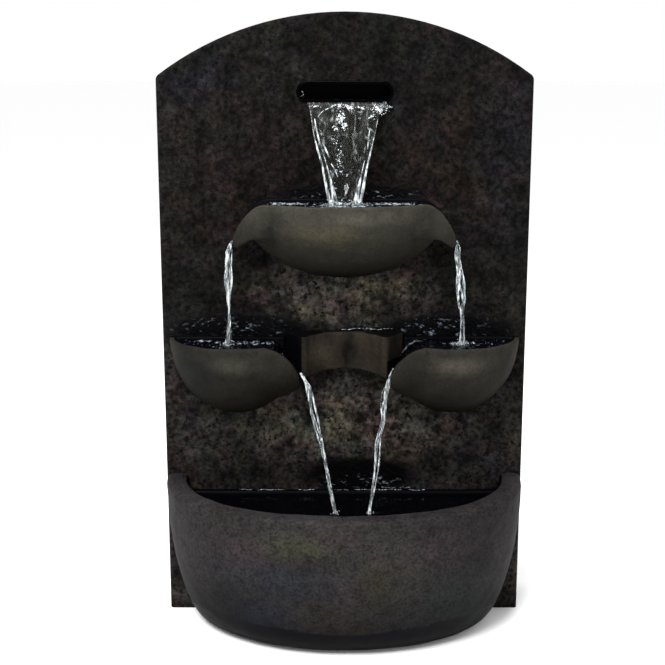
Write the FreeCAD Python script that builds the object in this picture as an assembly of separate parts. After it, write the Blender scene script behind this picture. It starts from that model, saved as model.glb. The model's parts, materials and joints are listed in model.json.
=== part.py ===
import FreeCAD, Part
import math
import os

# Garden wall fountain: an arched slab with a slot near its top, an upper bowl with two drooping
# spouts, a pair of lower bowls joined by a hollowed bridge, and a half-oval basin at the foot.
# A pump in the basin lifts the water through a hose inside the hollow slab to the slot.
#
# Millimetres, +Z up, the front faces -Y. The origin is at the middle of the footprint, on the
# ground. Most places are given as x, z and "out": the distance in front of the slab's face.
# A negative "out" lies inside the slab.

os.makedirs("parts", exist_ok=True)
V = FreeCAD.Vector

# Slab
SLAB_WIDTH = 510.0
SLAB_APEX = 853.0
SLAB_DEPTH = 88.0
ARCH_RADIUS = 425.0
SHOULDER_RADIUS = 9.0
SLAB_EDGE_RADIUS = 5.0
SKIN = 10.0
SIDE_WALL = 12.0
REAR_RIM = 5.0
REAR_RECESS = 6.0
BOSS_RADIUS = 7.0

# Slot and spillway
SLOT_WIDTH = 131.0
SLOT_HEIGHT = 28.5
SLOT_Z = 748.0
MOUTH_PROUD = 3.0
MOUTH_WALL = 4.0
MOUTH_EDGE = 1.4
TANK_WIDTH = 136.0
TANK_DEPTH = 46.0
TANK_HEIGHT = 44.0
TANK_WALL = 3.0
FLANGE = 3.0
FLANGE_MARGIN = 15.0
FLANGE_SCREW_INSET = 8.0
GASKET = 1.5
LID = 3.0

# Upper bowl. Short outlines are given as (x, height above the rim) for a front view and (x, out)
# for a plan
UPPER_RIM_Z = 605.0
UPPER_HALF = 146.0
UPPER_REACH = 113.0
UPPER_DEPTH = 109.5
UPPER_WALL = 9.0
UPPER_TIP_X = 152.0
UPPER_DROOP_START = 108.0
UPPER_DROOP = 55.0
UPPER_DROOP_POWER = 1.48
UPPER_HORN_ROOT = 96.0
UPPER_HORN_BALL = (90.0, 100.0, 88.0, 95.0)
UPPER_HORN_EDGE = ((96.0, 85.0), (124.0, 67.0), (153.0, 43.0))
UPPER_HORN_UNDER = ((152.0, -61.5), (143.5, -63.0), (134.0, -56.5), (125.0, -51.0), (117.0, -49.5))
UPPER_CHANNEL = ((90.0, -8.0), (104.0, -9.0), (120.0, -18.0), (134.0, -35.0), (144.0, -49.0), (157.0, -62.0))
UPPER_CHANNEL_EDGE = ((90.0, 82.0), (120.0, 61.0), (157.0, 31.0))

# Lower bowls, given for the right-hand one. Its outlines' x is counted from the bowl's middle
LOWER_RIM_Z = 412.0
LOWER_MIDDLE_X = 150.0
LOWER_HALF = 95.0
LOWER_REACH = 90.0
LOWER_DEPTH = 110.0
LOWER_WALL = 8.0
LOWER_TIP_X = -88.0
LOWER_DROOP_START = -45.0
LOWER_DROOP = 46.0
LOWER_DROOP_POWER = 1.6
LOWER_HORN_ROOT = -40.0
LOWER_HORN_BALL = (-50.0, 120.0, 87.0, 88.0)
LOWER_HORN_UNDER = ((-88.0, -62.5), (-80.0, -70.0), (-70.0, -78.0), (-56.0, -88.5), (-40.0, -97.0))
LOWER_CHANNEL = ((-93.0, -58.0), (-84.0, -47.0), (-72.0, -29.0), (-60.0, -14.0), (-51.0, -8.0), (-44.0, -8.0))
LOWER_CHANNEL_EDGE = ((-93.0, 51.0), (-84.0, 61.0), (-72.0, 71.0), (-60.0, 77.0), (-44.0, 79.0))

# Bridge between the lower bowls
BRIDGE_TO_BOWL = 94.5
BRIDGE_FLARE = 26.5
BRIDGE_RADIUS = 58.0
BRIDGE_WAIST = 10.0
BRIDGE_FOOT = 12.0
BRIDGE_RISE = 8.0
BRIDGE_HEIGHT = 60.0
BRIDGE_ARCH_RISE = 6.0
BRIDGE_EDGE = 2.5
BRIDGE_CORNER = 7.0

# Basin
BASIN_STEP_IN = 2.0
BASIN_REACH = 202.0
BASIN_HEIGHT = 211.0
BASIN_SIDE_DROP = 55.0
BASIN_FRONT_DROP = 70.0
BASIN_WALL = 29.0
BASIN_FLOOR = 16.0
BASIN_INNER_SIDE_DROP = 28.0
BASIN_INNER_FRONT_DROP = 34.0
BASIN_INNER_BACK = -2.0
BASIN_BACK_WALL = 12.0
BASIN_BACK_TOP = 186.0
BASIN_POWER_TOP = 2.2
BASIN_POWER_FOOT = 2.0
BASIN_RIM_RADIUS = 8.0

# Castings' shared sizes, and where they are bolted to the slab
BOWL_BACK = 11.0
UPPER_BOLT_SPREAD = 60.0
UPPER_BOLT_DROP = 40.0
LOWER_BOLT_OFFSETS = ((-30.0, -40.0), (50.0, -28.0))
BRIDGE_BOLT_SPREAD = 30.0
BRIDGE_BOLT_DROP = 26.0
BASIN_BOLT_INSET = 63.0
BASIN_BOLT_HEIGHTS = (150.0, 60.0)

# Rear cover, hatch and hangers
COVER = 4.0
COVER_GAP = 0.5
COVER_BOSS_INSET = 16.0
COVER_SIDE_SCREWS = (60.0, 260.0, 460.0, 660.0)
COVER_FOOT_SPREAD = 120.0
COVER_ARCH_SPREAD = 150.0
HATCH_WIDTH = 184.0
HATCH_HEIGHT = 144.0
HATCH_Z = 150.0
HATCH_SHEET = 2.5
HATCH_LAP = 12.0
PLATE_SHEET = 2.5
PLATE_WIDTH = 68.0
PLATE_HEIGHT = 44.0
PLATE_CORNER = 5.0
PLATE_SCREW_INSET = 10.0
PLATE_SCREW_RISE = 7.0
HANGER_SPACING = 300.0
HANGER_Z = 695.0
KEYHOLE_RADIUS = 6.0
KEYHOLE_SLOT = 3.2
KEYHOLE_RISE = 13.0
KEYHOLE_ROOM = 2.5

# Fasteners
BOLT_RADIUS = 3.0
BOLT_HEAD = 4.0
BOLT_ACROSS = 10.0
WASHER_RADIUS = 7.0
WASHER = 1.6
INSERT_RADIUS = 5.0
INSERT_LENGTH = 9.0
SCREW_RADIUS = 1.75
SCREW_LENGTH = 16.0
SCREW_HEAD_RADIUS = 3.4
SCREW_HEAD = 2.2
SHORT_SCREW_RADIUS = 1.4
SHORT_SCREW_LENGTH = 7.0

# Clearances
FIT = 0.05
LOOSE = 0.5
SEAT = 0.3
POCKET_SPARE = 0.3
OVERRUN = 5.0

# Hoses and fittings
HOSE_BORE = 6.5
HOSE_WALL = 2.0
HOSE_GRIP = 14.0
TUBE_BORE = 4.5
RISER_OUT = -38.0
BULKHEAD_Z = 142.0
BARREL_RADIUS = 9.0
BULKHEAD_FLANGE_RADIUS = 16.0
BULKHEAD_FLANGE = 3.0
SEAL = 2.0
NUT_ACROSS = 28.0
NUT_HEIGHT = 7.0
ELBOW_RADIUS = 10.5
ELBOW_DROP = 14.0
BARB_LENGTH = 16.0
SOCKET_GRIP = 8.0
SOCKET_WALL = 2.5
CLAMP_WIDTH = 7.0
CLAMP_BAND = 1.0
CLAMP_HOUSING = 5.0
CLAMP_HOUSING_HALF = 4.0
CLAMP_DRIVE = 0.8
CLIP_WIDTH = 14.0
CLIP_WALL = 3.0
CLIP_FOOT = 34.0
CLIP_SCREW_INSET = 5.0
CLIP_HEIGHTS = (300.0, 520.0)

# Pump
PUMP_OUT = 36.0
PUMP_WIDTH = 44.0
PUMP_HEIGHT = 52.0
PUMP_EDGE = 5.0
MOTOR_LENGTH = 54.0
VOLUTE_LENGTH = 18.0
VOLUTE_FACE = 3.0
VOLUTE_SCREW_INSET = 6.0
CHAMBER_RADIUS = 17.0
EYE_RADIUS = 9.0
NOZZLE_LENGTH = 18.0
REGISTER_DEPTH = 4.0
STRAINER_DEPTH = 22.0
STRAINER_WALL = 2.0
STRAINER_SLOT = 2.4
STRAINER_SLOT_LENGTH = 18.0
STRAINER_SLOT_OFFSET = 17.4
STRAINER_SLOT_RISE = 12.0
INLET_RISE = 12.0
INLET_WALL = 2.5
INLET_LENGTH = 6.0
INLET_DEPTH = 6.0
FOOT_INSET_VOLUTE = 7.0
FOOT_INSET_MOTOR = 9.0
FOOT_INSET_SIDE = 8.0
FOOT_HEIGHT = 6.0
FOOT_RADIUS = 5.5
ROTOR_RADIUS = 8.7
ROTOR_BORE_GAP = 0.6
ROTOR_LENGTH = 36.0
BLADE_RADIUS = 15.0
BLADE_DEPTH = 7.0
BLADE = 1.6
BLADE_COUNT = 5
DISC = 2.0
HUB_RADIUS = 4.0
SHAFT_RADIUS = 1.5
BUSH_RADIUS = 3.4
BUSH_LENGTH = 4.0
BUSH_BOSS = 2.0
DIAL_RADIUS = 15.0
DIAL = 2.5
DIAL_PIN = 2.5
DIAL_COLLAR = 1.0
DIAL_COLLAR_LENGTH = 1.6
DIAL_GRIP_HEIGHT = 5.0
DIAL_GRIP_WIDTH = 4.0
PORT_RADIUS = 4.0
PORT_OFFSET = 9.5

# Ways through for the pump's lead, which is left out
LEAD_RADIUS = 3.5
SEAL_PLUG_X = 100.0
SEAL_PLUG_Z = 125.0
SEAL_PLUG_RADIUS = 9.0
GLAND_X = 150.0
GLAND_Z = 60.0
GLAND_RADIUS = 8.0
GLAND_LIP = 3.0
GLAND_LIP_DEPTH = 2.0

# Places worked out from the sizes above
BASIN_HALF = SLAB_WIDTH / 2 - BASIN_STEP_IN
BRIDGE_HALF = LOWER_MIDDLE_X - BRIDGE_TO_BOWL
BRIDGE_FOOT_HALF = BRIDGE_HALF + BRIDGE_FLARE
BRIDGE_TOP = LOWER_RIM_Z + BRIDGE_RISE
BRIDGE_BOTTOM = BRIDGE_TOP - BRIDGE_HEIGHT
DEPTH = SLAB_DEPTH + BASIN_REACH
Y_BACK = DEPTH / 2
Y_FACE = Y_BACK - SLAB_DEPTH
SKIN_INSIDE = -SKIN
COVER_INSIDE = REAR_RECESS + COVER - SLAB_DEPTH
COVER_OUTSIDE = COVER_INSIDE - COVER
BOLT_HOLE = BOLT_RADIUS + LOOSE
SCREW_HOLE = SCREW_RADIUS + LOOSE


def y_at(out):
    return Y_FACE - out


def point(x, out, z):
    return V(x, y_at(out), z)


def line(a, b):
    return Part.LineSegment(a, b).toShape()


def arc(a, middle, b):
    return Part.Arc(a, middle, b).toShape()


def block(x0, x1, out0, out1, z0, z1):
    """A box between two corners, with its depth from out0 back to the nearer out1."""
    return Part.makeBox(x1 - x0, abs(out1 - out0), z1 - z0, point(x0, max(out0, out1), z0))


def rod_y(x, z, out0, out1, radius):
    """A cylinder that lies front to back."""
    start = point(x, max(out0, out1), z)
    return Part.makeCylinder(radius, abs(out1 - out0), start, V(0, 1, 0))


def rod_x(x0, x1, out, z, radius):
    return Part.makeCylinder(radius, x1 - x0, point(x0, out, z), V(1, 0, 0))


def rod_z(x, out, z0, z1, radius):
    return Part.makeCylinder(radius, z1 - z0, point(x, out, z0), V(0, 0, 1))


def prism_y(wire, distance):
    """A flat outline at its own place, carried towards the back by the distance."""
    return Part.Face(wire).extrude(V(0, distance, 0))


def fused(shapes):
    whole = shapes[0]
    if len(shapes) > 1:
        whole = whole.fuse(shapes[1:])
    return whole.removeSplitter()


def mirrored(shape):
    return shape.mirror(V(0, 0, 0), V(1, 0, 0))


def superellipse(share, power):
    """The height of a unit superellipse at a share of its half width."""
    inside = max(0.0, 1.0 - min(1.0, abs(share)) ** power)
    return inside ** (1.0 / power)


def spline(points):
    curve = Part.BSplineCurve()
    curve.interpolate(points)
    return curve.toShape()


def ellipsoid(x, z, half_width, reach, half_height):
    """A whole ellipsoid with its centre on the slab's face."""
    ball = Part.makeSphere(1.0, V(0, 0, 0), V(1, 0, 0))
    scale = FreeCAD.Matrix()
    scale.scale(half_width, reach, half_height)
    ball = ball.transformGeometry(scale)
    ball.translate(point(x, 0, z))
    return ball


def slab_outline(inset, out):
    """The arched outline of the slab, drawn in by an inset, as a wire at one depth."""
    half = SLAB_WIDTH / 2 - inset
    radius = ARCH_RADIUS - inset
    centre = SLAB_APEX - ARCH_RADIUS
    shoulder = centre + math.sqrt(radius ** 2 - half ** 2)
    apex = centre + radius
    left_foot = point(-half, out, inset)
    right_foot = point(half, out, inset)
    left_shoulder = point(-half, out, shoulder)
    right_shoulder = point(half, out, shoulder)
    return Part.Wire([
        line(left_foot, right_foot),
        line(right_foot, right_shoulder),
        arc(right_shoulder, point(0, out, apex), left_shoulder),
        line(left_shoulder, left_foot),
    ])


def pill_outline(width, height, z, out):
    """A straight slot with round ends, as a wire."""
    r = height / 2
    run = width / 2 - r
    return Part.Wire([
        line(point(-run, out, z - r), point(run, out, z - r)),
        arc(point(run, out, z - r), point(run + r, out, z), point(run, out, z + r)),
        line(point(run, out, z + r), point(-run, out, z + r)),
        arc(point(-run, out, z + r), point(-run - r, out, z), point(-run, out, z - r)),
    ])


def pill_rod(width, height, z, out0, out1):
    start = max(out0, out1)
    return prism_y(pill_outline(width, height, z, start), abs(out1 - out0))


def hexagon_rod(x, z, out0, out1, across):
    """A six-sided head or nut that lies front to back."""
    corner = across / 2 / math.cos(math.radians(30))
    start = max(out0, out1)
    corners = []
    for step in range(7):
        turn = math.radians(60 * step)
        corners.append(point(x + corner * math.cos(turn), start, z + corner * math.sin(turn)))
    return prism_y(Part.makePolygon(corners), abs(out1 - out0))


def pair(x, z):
    """Two places, the same distance to the left and to the right."""
    return [(-x, z), (x, z)]


# Where the castings are bolted to the slab, as (x, z)
UPPER_BOLTS = pair(UPPER_BOLT_SPREAD, UPPER_RIM_Z - UPPER_BOLT_DROP)
RIGHT_BOLTS = [(LOWER_MIDDLE_X + x, LOWER_RIM_Z + z) for x, z in LOWER_BOLT_OFFSETS]
LEFT_BOLTS = [(-x, z) for x, z in RIGHT_BOLTS]
BRIDGE_BOLTS = pair(BRIDGE_BOLT_SPREAD, BRIDGE_TOP - BRIDGE_BOLT_DROP)
BASIN_BOLTS = [spot for z in BASIN_BOLT_HEIGHTS for spot in pair(BASIN_HALF - BASIN_BOLT_INSET, z)]
ALL_BOLTS = UPPER_BOLTS + LEFT_BOLTS + RIGHT_BOLTS + BRIDGE_BOLTS + BASIN_BOLTS


def insert_pockets(places):
    return [rod_y(x, z, 0, INSERT_LENGTH + POCKET_SPARE, INSERT_RADIUS + FIT) for x, z in places]


def cover_screw_places():
    """The rear cover's screws: up both sides, along the foot and round the arch."""
    places = pair(COVER_FOOT_SPREAD, COVER_BOSS_INSET)
    for z in COVER_SIDE_SCREWS:
        places += pair(SLAB_WIDTH / 2 - COVER_BOSS_INSET, z)
    radius = ARCH_RADIUS - COVER_BOSS_INSET
    for x in (-COVER_ARCH_SPREAD, 0.0, COVER_ARCH_SPREAD):
        places.append((x, SLAB_APEX - ARCH_RADIUS + math.sqrt(radius ** 2 - x ** 2)))
    return places


def plate_screw_places():
    """Two screws for each of the two hanger plates."""
    places = []
    for side in (-1, 1):
        middle = side * HANGER_SPACING / 2
        for offset in (-1, 1):
            places.append((middle + offset * (PLATE_WIDTH / 2 - PLATE_SCREW_INSET),
                           HANGER_Z + PLATE_SCREW_RISE))
    return places


def hatch_screw_places():
    across = HATCH_WIDTH / 2 - HATCH_LAP / 2
    up = HATCH_HEIGHT / 2 - HATCH_LAP / 2
    return [(sx * across, HATCH_Z + sz * up) for sx in (-1, 1) for sz in (-1, 1)]


def spillway_screw_places():
    across = TANK_WIDTH / 2 + FLANGE_MARGIN / 2
    up = TANK_HEIGHT / 2 - FLANGE_SCREW_INSET
    return [(sx * across, SLOT_Z + sz * up) for sx in (-1, 1) for sz in (-1, 1)]


def clip_screw_places():
    places = []
    for z in CLIP_HEIGHTS:
        places += pair(CLIP_FOOT / 2 - CLIP_SCREW_INSET, z)
    return places


def make_wall_panel():
    """The slab: a tray open at the back, with its skin in front and screw bosses inside."""
    slab = prism_y(slab_outline(0, 0), SLAB_DEPTH)
    upright = [e for e in slab.Edges
               if abs(e.Length - SLAB_DEPTH) < 0.01 and e.BoundBox.ZMin > BASIN_HEIGHT]
    slab = slab.makeFillet(SHOULDER_RADIUS, upright)
    front = [e for e in slab.Edges
             if e.BoundBox.YLength < 0.01 and abs(e.BoundBox.YMin - Y_FACE) < 0.01
             and e.BoundBox.ZMax > 1.0]
    slab = slab.makeFillet(SLAB_EDGE_RADIUS, front)
    hollow = prism_y(slab_outline(SIDE_WALL, SKIN_INSIDE), SLAB_DEPTH - SKIN)
    slab = slab.cut(hollow)
    boss_places = cover_screw_places() + plate_screw_places()
    bosses = [rod_y(x, z, SKIN_INSIDE + 1.0, COVER_INSIDE, BOSS_RADIUS) for x, z in boss_places]
    slab = fused([slab] + bosses)
    rebate = prism_y(slab_outline(REAR_RIM, COVER_INSIDE), SLAB_DEPTH)
    cuts = [rebate, pill_rod(SLOT_WIDTH + 2 * FIT, SLOT_HEIGHT + 2 * FIT, SLOT_Z, OVERRUN, -SKIN - OVERRUN)]
    for x, z in boss_places:
        cuts.append(rod_y(x, z, COVER_INSIDE - OVERRUN, COVER_INSIDE + SCREW_LENGTH, SCREW_RADIUS + FIT))
    for x, z in ALL_BOLTS:
        cuts.append(rod_y(x, z, OVERRUN, -SKIN - OVERRUN, BOLT_HOLE))
    for x, z in spillway_screw_places() + clip_screw_places():
        cuts.append(rod_y(x, z, SKIN_INSIDE - OVERRUN, SKIN_INSIDE + SHORT_SCREW_LENGTH,
                          SHORT_SCREW_RADIUS + FIT))
    cuts.append(rod_y(0, BULKHEAD_Z, OVERRUN, -SKIN - OVERRUN, BARREL_RADIUS + LOOSE))
    cuts.append(rod_y(SEAL_PLUG_X, SEAL_PLUG_Z, OVERRUN, -SKIN - OVERRUN, SEAL_PLUG_RADIUS + FIT))
    return slab.cut(cuts)


def keyhole(x, out0, out1, spare):
    """A keyhole's outline as a solid: a round entry with a narrow slot above it."""
    entry = rod_y(x, HANGER_Z, out0, out1, KEYHOLE_RADIUS + spare)
    slot_radius = KEYHOLE_SLOT + spare
    slot = block(x - slot_radius, x + slot_radius, out0, out1, HANGER_Z, HANGER_Z + KEYHOLE_RISE)
    end = rod_y(x, HANGER_Z + KEYHOLE_RISE, out0, out1, slot_radius)
    return entry.fuse([slot, end])


def make_rear_cover():
    cover = prism_y(slab_outline(REAR_RIM + COVER_GAP, COVER_INSIDE), COVER)
    above = COVER_INSIDE + OVERRUN
    below = COVER_OUTSIDE - OVERRUN
    cuts = [block(-HATCH_WIDTH / 2 + HATCH_LAP, HATCH_WIDTH / 2 - HATCH_LAP, above, below,
                  HATCH_Z - HATCH_HEIGHT / 2 + HATCH_LAP, HATCH_Z + HATCH_HEIGHT / 2 - HATCH_LAP)]
    cuts.append(rod_y(GLAND_X, GLAND_Z, above, below, GLAND_RADIUS + FIT))
    for side in (-1, 1):
        cuts.append(keyhole(side * HANGER_SPACING / 2, above, below, KEYHOLE_ROOM))
    for x, z in cover_screw_places() + plate_screw_places():
        cuts.append(rod_y(x, z, above, below, SCREW_HOLE))
    for x, z in hatch_screw_places():
        cuts.append(rod_y(x, z, above, below, SHORT_SCREW_RADIUS + FIT))
    return cover.cut(cuts)


def make_service_hatch():
    half = HATCH_WIDTH / 2
    hatch = block(-half, half, COVER_OUTSIDE, COVER_OUTSIDE - HATCH_SHEET,
                  HATCH_Z - HATCH_HEIGHT / 2, HATCH_Z + HATCH_HEIGHT / 2)
    corners = [e for e in hatch.Edges if abs(e.Length - HATCH_SHEET) < 0.01]
    hatch = hatch.makeFillet(HATCH_LAP / 2, corners)
    holes = [rod_y(x, z, COVER_OUTSIDE + OVERRUN, COVER_OUTSIDE - HATCH_SHEET - OVERRUN,
                   SHORT_SCREW_RADIUS + LOOSE) for x, z in hatch_screw_places()]
    return hatch.cut(holes)


def make_hanger_plates():
    plates = []
    for side in (-1, 1):
        x = side * HANGER_SPACING / 2
        low = HANGER_Z + KEYHOLE_RISE / 2 - PLATE_HEIGHT / 2
        plate = block(x - PLATE_WIDTH / 2, x + PLATE_WIDTH / 2, COVER_OUTSIDE,
                      COVER_OUTSIDE - PLATE_SHEET, low, low + PLATE_HEIGHT)
        corners = [e for e in plate.Edges if abs(e.Length - PLATE_SHEET) < 0.01]
        plate = plate.makeFillet(PLATE_CORNER, corners)
        above = COVER_OUTSIDE + OVERRUN
        below = COVER_OUTSIDE - PLATE_SHEET - OVERRUN
        cuts = [keyhole(x, above, below, 0)]
        cuts += [rod_y(sx, sz, above, below, SCREW_HOLE) for sx, sz in plate_screw_places()]
        plates.append(plate.cut(cuts))
    return plates


def pan_screw(x, z, seat, length, radius, head_radius, head):
    """A pan-head screw driven towards the front, with its head behind the seat and a cross recess."""
    shank = rod_y(x, z, seat, seat + length, radius)
    cap = rod_y(x, z, seat - head, seat, head_radius)
    rim = [e for e in cap.Edges if abs(e.BoundBox.YMax - y_at(seat - head)) < 0.01
           and e.BoundBox.YLength < 0.01]
    cap = cap.makeFillet(head * 0.4, rim)
    arm = head_radius * 0.6
    slit = head_radius * 0.12
    deep = seat - head * 0.5
    cross = [block(x - arm, x + arm, deep, seat - head - 1, z - slit, z + slit),
             block(x - slit, x + slit, deep, seat - head - 1, z - arm, z + arm)]
    return shank.fuse(cap).cut(cross)


def make_screws(places, seat, length, radius, head_radius, head):
    return [pan_screw(x, z, seat, length, radius, head_radius, head) for x, z in places]


def make_casting_bolts():
    """Hexagon bolts from inside the slab into the castings."""
    seat = SKIN_INSIDE - WASHER
    bolts = []
    for x, z in ALL_BOLTS:
        shank = rod_y(x, z, seat, INSERT_LENGTH - 1.0, BOLT_RADIUS)
        bolts.append(shank.fuse(hexagon_rod(x, z, seat, seat - BOLT_HEAD, BOLT_ACROSS)))
    return bolts


def ring_y(x, z, out0, out1, outer, inner):
    """A ring that lies front to back, from out0 back to out1."""
    return rod_y(x, z, out0, out1, outer).cut(rod_y(x, z, out0 + 1, out1 - 1, inner))


def make_casting_washers():
    return [ring_y(x, z, SKIN_INSIDE, SKIN_INSIDE - WASHER, WASHER_RADIUS, BOLT_RADIUS + 0.2)
            for x, z in ALL_BOLTS]


def make_threaded_inserts():
    return [ring_y(x, z, INSERT_LENGTH, 0.1, INSERT_RADIUS, BOLT_RADIUS + FIT) for x, z in ALL_BOLTS]


def droop_line(start_x, tip_x, rim_z, droop, power, out):
    """A lip's fall from its straight rim to the spout's tip, as points at one depth."""
    shares = (0.0, 0.25, 0.5, 0.7, 0.85, 0.95, 1.0)
    points = []
    for share in shares:
        fall = droop * (1 - superellipse(share, power))
        points.append(point(start_x + (tip_x - start_x) * share, out, rim_z - fall))
    return points


def horn_solid(start_x, tip_x, rim_z, droop, power, reach, root_x, under, ball):
    """A drooping spout's solid: its front view carried back to the slab, rounded by an ellipsoid."""
    lip = droop_line(start_x, tip_x, rim_z, droop, power, reach)
    foot = [point(x, reach, rim_z + z) for x, z in under]
    root_top = point(root_x, reach, rim_z)
    root_foot = point(root_x, reach, foot[-1].z)
    sides = [spline(lip), line(lip[-1], foot[0]), spline(foot)]
    if abs(foot[-1].x - root_x) > 0.01:
        sides.append(line(foot[-1], root_foot))
    sides.append(line(root_foot, root_top))
    if abs(root_x - start_x) > 0.01:
        sides.append(line(root_top, lip[0]))
    front_view = Part.Wire(Part.__sortEdges__(sides))
    x, half_width, depth_reach, half_height = ball
    return prism_y(front_view, reach).common(ellipsoid(x, rim_z, half_width, depth_reach, half_height))


def channel(floor, edge, rim_z, back, high, shift=0.0):
    """A spout's channel: all above its floor and behind its plan's edge, down to the back plane."""
    reach = max(out for x, out in edge)
    bed = [point(x + shift, reach, rim_z + z) for x, z in floor]
    first = point(bed[0].x, reach, high)
    last = point(bed[-1].x, reach, high)
    front_view = Part.Wire([spline(bed), line(bed[-1], last), line(last, first), line(first, bed[0])])
    low = min(spot.z for spot in bed) - OVERRUN
    rim = [point(x + shift, out, low) for x, out in edge]
    left_back = point(rim[0].x, back, low)
    right_back = point(rim[-1].x, back, low)
    plan = Part.Wire([spline(rim), line(rim[-1], right_back), line(right_back, left_back),
                      line(left_back, rim[0])])
    return prism_y(front_view, reach - back).common(Part.Face(plan).extrude(V(0, 0, high - low)))


def make_upper_bowl():
    span = UPPER_TIP_X + OVERRUN
    low = UPPER_RIM_Z - UPPER_DEPTH - OVERRUN
    high = UPPER_RIM_Z + OVERRUN
    keep = block(-span, span, 0, UPPER_REACH + OVERRUN, low, UPPER_RIM_Z)
    hull = ellipsoid(0, UPPER_RIM_Z, UPPER_HALF, UPPER_REACH, UPPER_DEPTH).common(keep)
    droop = (UPPER_DROOP_START, UPPER_TIP_X, UPPER_RIM_Z, UPPER_DROOP, UPPER_DROOP_POWER, UPPER_REACH)
    over = slope_cut(*droop)
    hull = hull.cut([over, mirrored(over)])
    horn = horn_solid(*droop, UPPER_HORN_ROOT, UPPER_HORN_UNDER, UPPER_HORN_BALL)
    plan = [point(x, out, low) for x, out in UPPER_HORN_EDGE]
    feet = [point(plan[-1].x, 0, low), point(plan[0].x, 0, low)]
    side = Part.Wire([spline(plan), line(plan[-1], feet[0]), line(feet[0], feet[1]), line(feet[1], plan[0])])
    horn = horn.common(Part.Face(side).extrude(V(0, 0, high - low)))
    hull = hull.fuse([horn, mirrored(horn)])
    room = block(-span, span, BOWL_BACK, UPPER_REACH + OVERRUN, low, high)
    hollow = ellipsoid(0, UPPER_RIM_Z, UPPER_HALF - UPPER_WALL, UPPER_REACH - UPPER_WALL,
                       UPPER_DEPTH - UPPER_WALL).common(room)
    gutter = channel(UPPER_CHANNEL, UPPER_CHANNEL_EDGE, UPPER_RIM_Z, BOWL_BACK, high)
    sill = block(UPPER_CHANNEL[0][0], span, 0, UPPER_REACH + OVERRUN, low, UPPER_RIM_Z + 1)
    hollow = hollow.cut([sill, mirrored(sill)])
    bowl = hull.cut([hollow, gutter, mirrored(gutter)])
    return bowl.cut(insert_pockets(UPPER_BOLTS))


def slope_cut(start_x, tip_x, rim_z, droop, power, reach):
    """All that lies above a drooping lip, from its start to past its tip."""
    front = reach + OVERRUN
    lip = droop_line(start_x, tip_x, rim_z, droop, power, front)
    outward = OVERRUN if tip_x > start_x else -OVERRUN
    past = tip_x + outward * 4
    high = rim_z + OVERRUN
    outline = Part.Wire([spline(lip), line(lip[-1], point(past, front, lip[-1].z)),
                         line(point(past, front, lip[-1].z), point(past, front, high)),
                         line(point(past, front, high), point(start_x, front, high)),
                         line(point(start_x, front, high), lip[0])])
    return prism_y(outline, front + OVERRUN)


def bridge_plan(low, spare):
    """The bridge seen from above, as a wire: hollowed in front, flared back to its feet."""
    centre = BRIDGE_WAIST + BRIDGE_RADIUS
    corner_out = centre - math.sqrt(BRIDGE_RADIUS ** 2 - BRIDGE_HALF ** 2)
    left = point(-BRIDGE_HALF - spare, corner_out + spare, low)
    right = point(BRIDGE_HALF + spare, corner_out + spare, low)
    right_foot = point(BRIDGE_FOOT_HALF + spare, BRIDGE_FOOT + spare, low)
    left_foot = point(-BRIDGE_FOOT_HALF - spare, BRIDGE_FOOT + spare, low)
    right_back = point(BRIDGE_FOOT_HALF + spare, 0, low)
    left_back = point(-BRIDGE_FOOT_HALF - spare, 0, low)
    return Part.Wire([arc(left, point(0, BRIDGE_WAIST, low), right), line(right, right_foot),
                      line(right_foot, right_back), line(right_back, left_back),
                      line(left_back, left_foot), line(left_foot, left)])


def make_bowl_bridge():
    height = BRIDGE_TOP - BRIDGE_BOTTOM
    bridge = Part.Face(bridge_plan(BRIDGE_BOTTOM, 0)).extrude(V(0, 0, height))
    rise_radius = (BRIDGE_HALF ** 2 + BRIDGE_ARCH_RISE ** 2) / (2 * BRIDGE_ARCH_RISE)
    arch = rod_y(0, BRIDGE_BOTTOM + BRIDGE_ARCH_RISE - rise_radius, -OVERRUN, LOWER_REACH, rise_radius)
    bridge = bridge.cut(arch)
    corners = [e for e in bridge.Edges if e.BoundBox.ZLength > height / 2
               and abs(abs(e.BoundBox.Center.x) - BRIDGE_HALF) < 0.01]
    bridge = bridge.makeFillet(BRIDGE_CORNER, corners)
    top_front = [e for e in bridge.Edges if e.BoundBox.ZMin > BRIDGE_TOP - 0.01
                 and e.BoundBox.YMin < y_at(BRIDGE_WAIST) - 1.0]
    bridge = bridge.makeFillet(BRIDGE_EDGE, top_front)
    return bridge.cut(insert_pockets(BRIDGE_BOLTS))


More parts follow.
